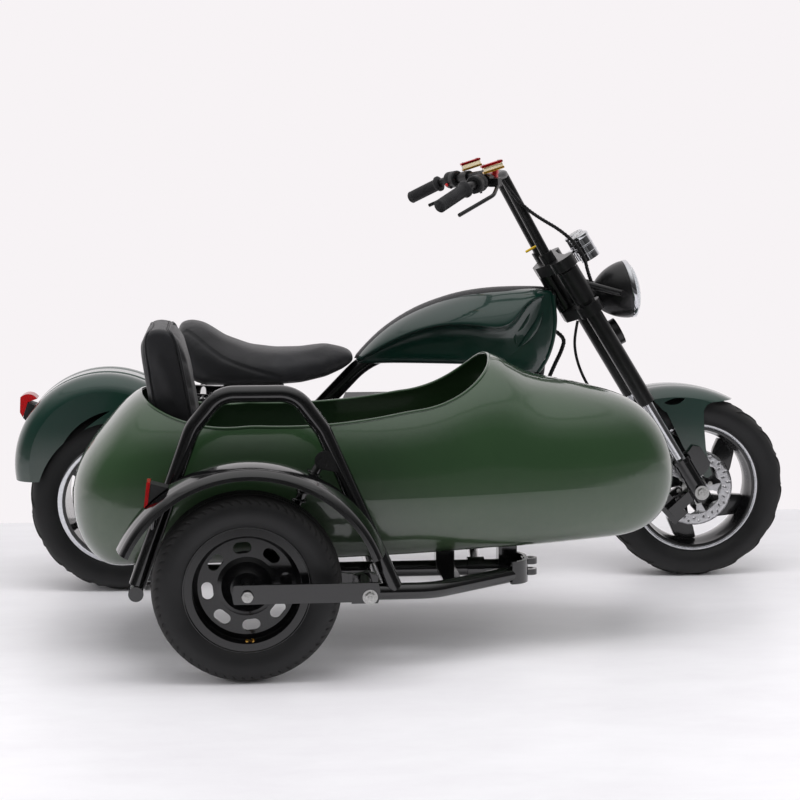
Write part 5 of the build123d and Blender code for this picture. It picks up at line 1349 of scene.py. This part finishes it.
def chip(bm, matrix, size, spot, round_mm):
    """A small block with rounded edges, sized and placed in mm within a frame."""
    corners = bmesh.ops.create_cube(bm, size=1.0)["verts"]
    bmesh.ops.scale(bm, vec=[s / 1000 for s in size], verts=corners)
    bmesh.ops.translate(bm, vec=[s / 1000 for s in spot], verts=corners)
    bmesh.ops.transform(bm, matrix=matrix, verts=corners)
    soften(bm, corners, round_mm, 3)


def button(bm, matrix, spot, radius, high, along=(0, 0, 1)):
    """A round button or bolt head standing on a point of a frame."""
    profile = [(0, high), (radius * 0.7, high), (radius, high * 0.7), (radius, 0), (0, 0)]
    lathe(bm, profile, matrix @ (Vector(spot) / 1000), matrix.to_3x3() @ Vector(along), 24)


POD = [
    (11.6, -19), (20, -20), (23, -17), (23, -2), (22.2, -1), (22.2, 1), (23, 2), (23, 17), (20, 20), (11.6, 19),
]
lids, pots, feet, clamps, pods, knobs = (bmesh.new() for _ in range(6))
for side in (-1, 1):
    here = on_bar(0.52, side)
    ahead = -1 if side > 0 else 1
    top = here @ Vector((ahead * 0.016, 0, 0)) + Vector((0, 0, 0.0347))
    tilt = Matrix.Rotation(radians(-18), 4, "Y")
    tank_frame = Matrix.Translation(top) @ tilt
    chip(pots, tank_frame, (52, 30, 12), (0, 0, -1), 2.5)
    chip(lids, tank_frame, (56, 34, 6), (0, 0, 8), 2.0)
    chip(feet, tank_frame, (55, 33, 6), (0, 0, -8), 2.0)
    for cx in (-20, 20):
        for cy in (-11, 11):
            button(knobs, tank_frame, (cx, cy, 11), 2.2, 1.2)
    pod_frame = on_bar(0.80, side)
    lathe(pods, POD, pod_frame.to_translation(), pod_frame.to_3x3() @ UP, 48, True)
    for angle, mm in ((-70, 4.2), (-105, 3.2)):
        spot = Vector((23 * cos(radians(angle)) * ahead * -1, 23 * sin(radians(angle)), 4 if mm > 4 else -8))
        button(pods, pod_frame, spot, mm, 3.4, (spot.x / 23, spot.y / 23, 0))
red_frame = on_bar(0.36, -1)
chip(clamps, red_frame, (30, 30, 16), (0, 0, 0), 4.0)
chip(clamps, red_frame, (14, 12, 15), (10, 17, 0), 3.0)
button(clamps, on_bar(0.80, 1), (20, -14, 6), 5.0, 5.0, (0.82, -0.57, 0))
finished("reservoir_pots", pots, POT_PLASTIC, "fork", "reservoir", "master_cylinders", angle=40)
finished("reservoir_lids", lids, RED_ALLOY, "fork", "reservoir", angle=40)
finished("reservoir_feet", feet, GOLD_ALLOY, "fork", "reservoir", angle=40)
finished("red_clamp", clamps, RED_PLASTIC, "fork", "reservoir", angle=40)
finished("switch_housings", pods, BLACK_PLASTIC, "fork", "black_plastic", "switch_pods", angle=40)
finished("small_screws", knobs, ZINC, "fork", "bolt_steel", angle=40)

# %% [markdown]
# A grip is a rubber sleeve with a flared collar at its inner end. Its ribs are steps in one profile,
# which is turned about the bar.

# %% Grips
bm = bmesh.new()
for side in (-1, 1):
    inner, outer = (at(x, side * y, z) for x, y, z in (GRIP_INNER, GRIP_OUTER))
    along = (outer - inner).normalized()
    long = (outer - inner).length * 1000
    profile = [(11.5, long * 0.12), (19, long * 0.12), (21.8, long * 0.14), (21.8, long * 0.18), (18.2, long * 0.21)]
    for index in range(15):
        z = long * (0.25 + 0.044 * index)
        profile += [(16.1, z), (16.9, z + 1.0), (16.9, z + 3.0), (16.1, z + 4.0)]
    profile += [(17.0, long * 0.95), (17.0, long - 3.5), (14.6, long - 0.6), (5, long), (0, long)]
    lathe(bm, profile, inner, along, 40)
finished("ribbed_grips", bm, GRIP_RUBBER, "fork", "grip_rubber", "grips", angle=50)

# %% [markdown]
# The looms are wires in a spiral wrap. The wire bundle is a cord along the route, and the wrap is a
# flat-looking helix of thin cord round it, with gaps where the wires show. Both follow the same
# smooth line, so the wrap stays on the bundle round every bend.

# %% Looms and the brake hose
BAR_LOOM = [
    (1004.5, -84, 1077), (1031, -80.5, 1040), (1068, -79, 1002), (1109, -79, 974), (1157, -79.4, 947),
    (1199, -80, 912), (1226, -80, 872), (1236, -74, 832), (1250, -56, 804),
]
BRAKE_HOSE = [
    (1213, -60, 703), (1204, -62, 660), (1206, -66, 618), (1218, -72, 574), (1240, -80, 528), (1285, -88, 466),
    (1336, -92, 400), (1380, -84, 336), (1410, -74, 284), (1431, -66, 242), (1451.8, -62, 216.2),
]
FRAME_LOOM = [
    (1155.6, 12, 673.6), (1193, 12, 654), (1184, 14, 616), (1166, 14, 580), (1140, 12, 520), (1096, 10, 452),
    (1038, 8, 410.6), (984.5, 8, 398),
]


def wrapped(name, route, radius, body, node):
    """A bundle of wires in a spiral wrap along a route."""
    course = [at(*point) for point in route]
    helix, turn = [], 0.0
    for spot, along in even(centre_line(course), 1.6):
        out = along.orthogonal().normalized() if not helix else (out - along * out.dot(along)).normalized()
        swung = Matrix.Rotation(turn, 3, along) @ out
        helix.append(spot + swung * (radius - 1.5) / 1000)
        turn += radians(66)
    bm = joined([strand(course, (radius - 1.6) / 1000, 3), strand(helix, 0.0016, 0)])
    finished(name, bm, HOSE_RUBBER, body, "hose_rubber", node, angle=60)


wrapped("bar_loom_wrap", BAR_LOOM, 6.0, "fork", "bar_loom")
wrapped("frame_loom_wrap", FRAME_LOOM, 7.0, "outfit", "frame_loom")
hose = joined([strand([at(*point) for point in BRAKE_HOSE], 0.0038, 3)])
tail, last = at(*BRAKE_HOSE[-1]), at(*BRAKE_HOSE[-2])
lathe(hose, [(0, -16), (5, -16), (5.6, -14), (5.6, -4), (4.6, 0), (0, 0)], tail, tail - last, 6)
finished("front_brake_hose", hose, HOSE_RUBBER, "fork", "hose_rubber", "brake_hose", angle=50)

# %% [markdown]
# Bolt heads tell the eye how the whole thing is held together. Each is a washer and a hexagon with a
# turned-down crown, set by a table of places. The heads are zinc plated and catch small highlights.

# %% Bolts, tyre valve and key
# columns: body, place, side it faces, radius, height, all mm
BOLTS = [
    ("outfit", (317.5, -1064.0, 210), -1, 8, 3.2), ("outfit", (582, -1055.3, 203), -1, 11, 7.6),
    ("outfit", (488, -880.2, 470), -1, 7, 5),
]
for side in (-1, 1):
    BOLTS += [
        ("fork", (1532, side * 76.4, 352), side, 7.5, 4), ("fork", (1559, side * 76.4, 310), side, 7.5, 4),
        ("fork", (1542, side * 134.8, 245), side, 13, 7), ("outfit", (0, side * 149.6, 238.5), side, 13, 8),
    ]


def bolt(bm, spot, side, radius, high):
    """A washer, a hexagon head and its crown, facing right or left."""
    washer = [(0, 0), (radius * 1.45, 0), (radius * 1.5, 0.5), (radius * 1.5, 1.4), (0, 1.4)]
    head = [(0, 1.2), (radius, 1.2), (radius, high - 1), (radius * 0.86, high), (0, high)]
    crown = [(0, high - 0.2), (radius * 0.42, high - 0.2), (radius * 0.34, high + 1.2), (0, high + 1.2)]
    for profile, steps in ((washer, 32), (head, 6), (crown, 16)):
        lathe(bm, profile, at(*spot), ACROSS * side, steps)


for body in ("outfit", "fork"):
    bm = bmesh.new()
    for owner, *sizes in BOLTS:
        if owner == body:
            bolt(bm, *sizes)
    finished(f"bolts_{body}", bm, ZINC, body, "bolt_steel", angle=30)
bm = bmesh.new()
for index in range(8):
    turn = radians(index * 45 + 12)
    spot = (1542 + 44 * cos(turn), -50.6, 245 + 44 * sin(turn))
    bolt(bm, spot, -1, 4.2, 3)
lathe(bm, [(0, -50.5), (30, -50.5), (34, -48.4), (34, -46), (0, -46)], FRONT_AXLE, ACROSS, 48)
finished("front_hub_bolts", bm, ZINC, "front_wheel", "bolt_steel", angle=30)
VALVE = [(0, 0), (4.4, 0), (4.4, 6), (2.6, 8), (2.6, 20), (3.4, 21), (3.4, 29), (0, 30)]
bm = bmesh.new()
lathe(bm, VALVE, CAR_AXLE + Vector((0.014, -0.046, -0.113)), (-0.55, -0.80, 0.20), 16)
finished("sidecar_valve", bm, BRASS, "sidecar_wheel", "bolt_steel", angle=40)
KEY = [(0, -8), (4.5, -8), (4.5, 0), (3.4, 2), (3.4, 44), (2.2, 46), (0, 46)]
lock, key_end = at(1119, -10, 906), at(1078, -10, 883)
turned("ignition_key", KEY, lock, key_end - lock, 16, False, YELLOW_PLASTIC, "black_plastic", angle=40)
print("controls and bolts made")
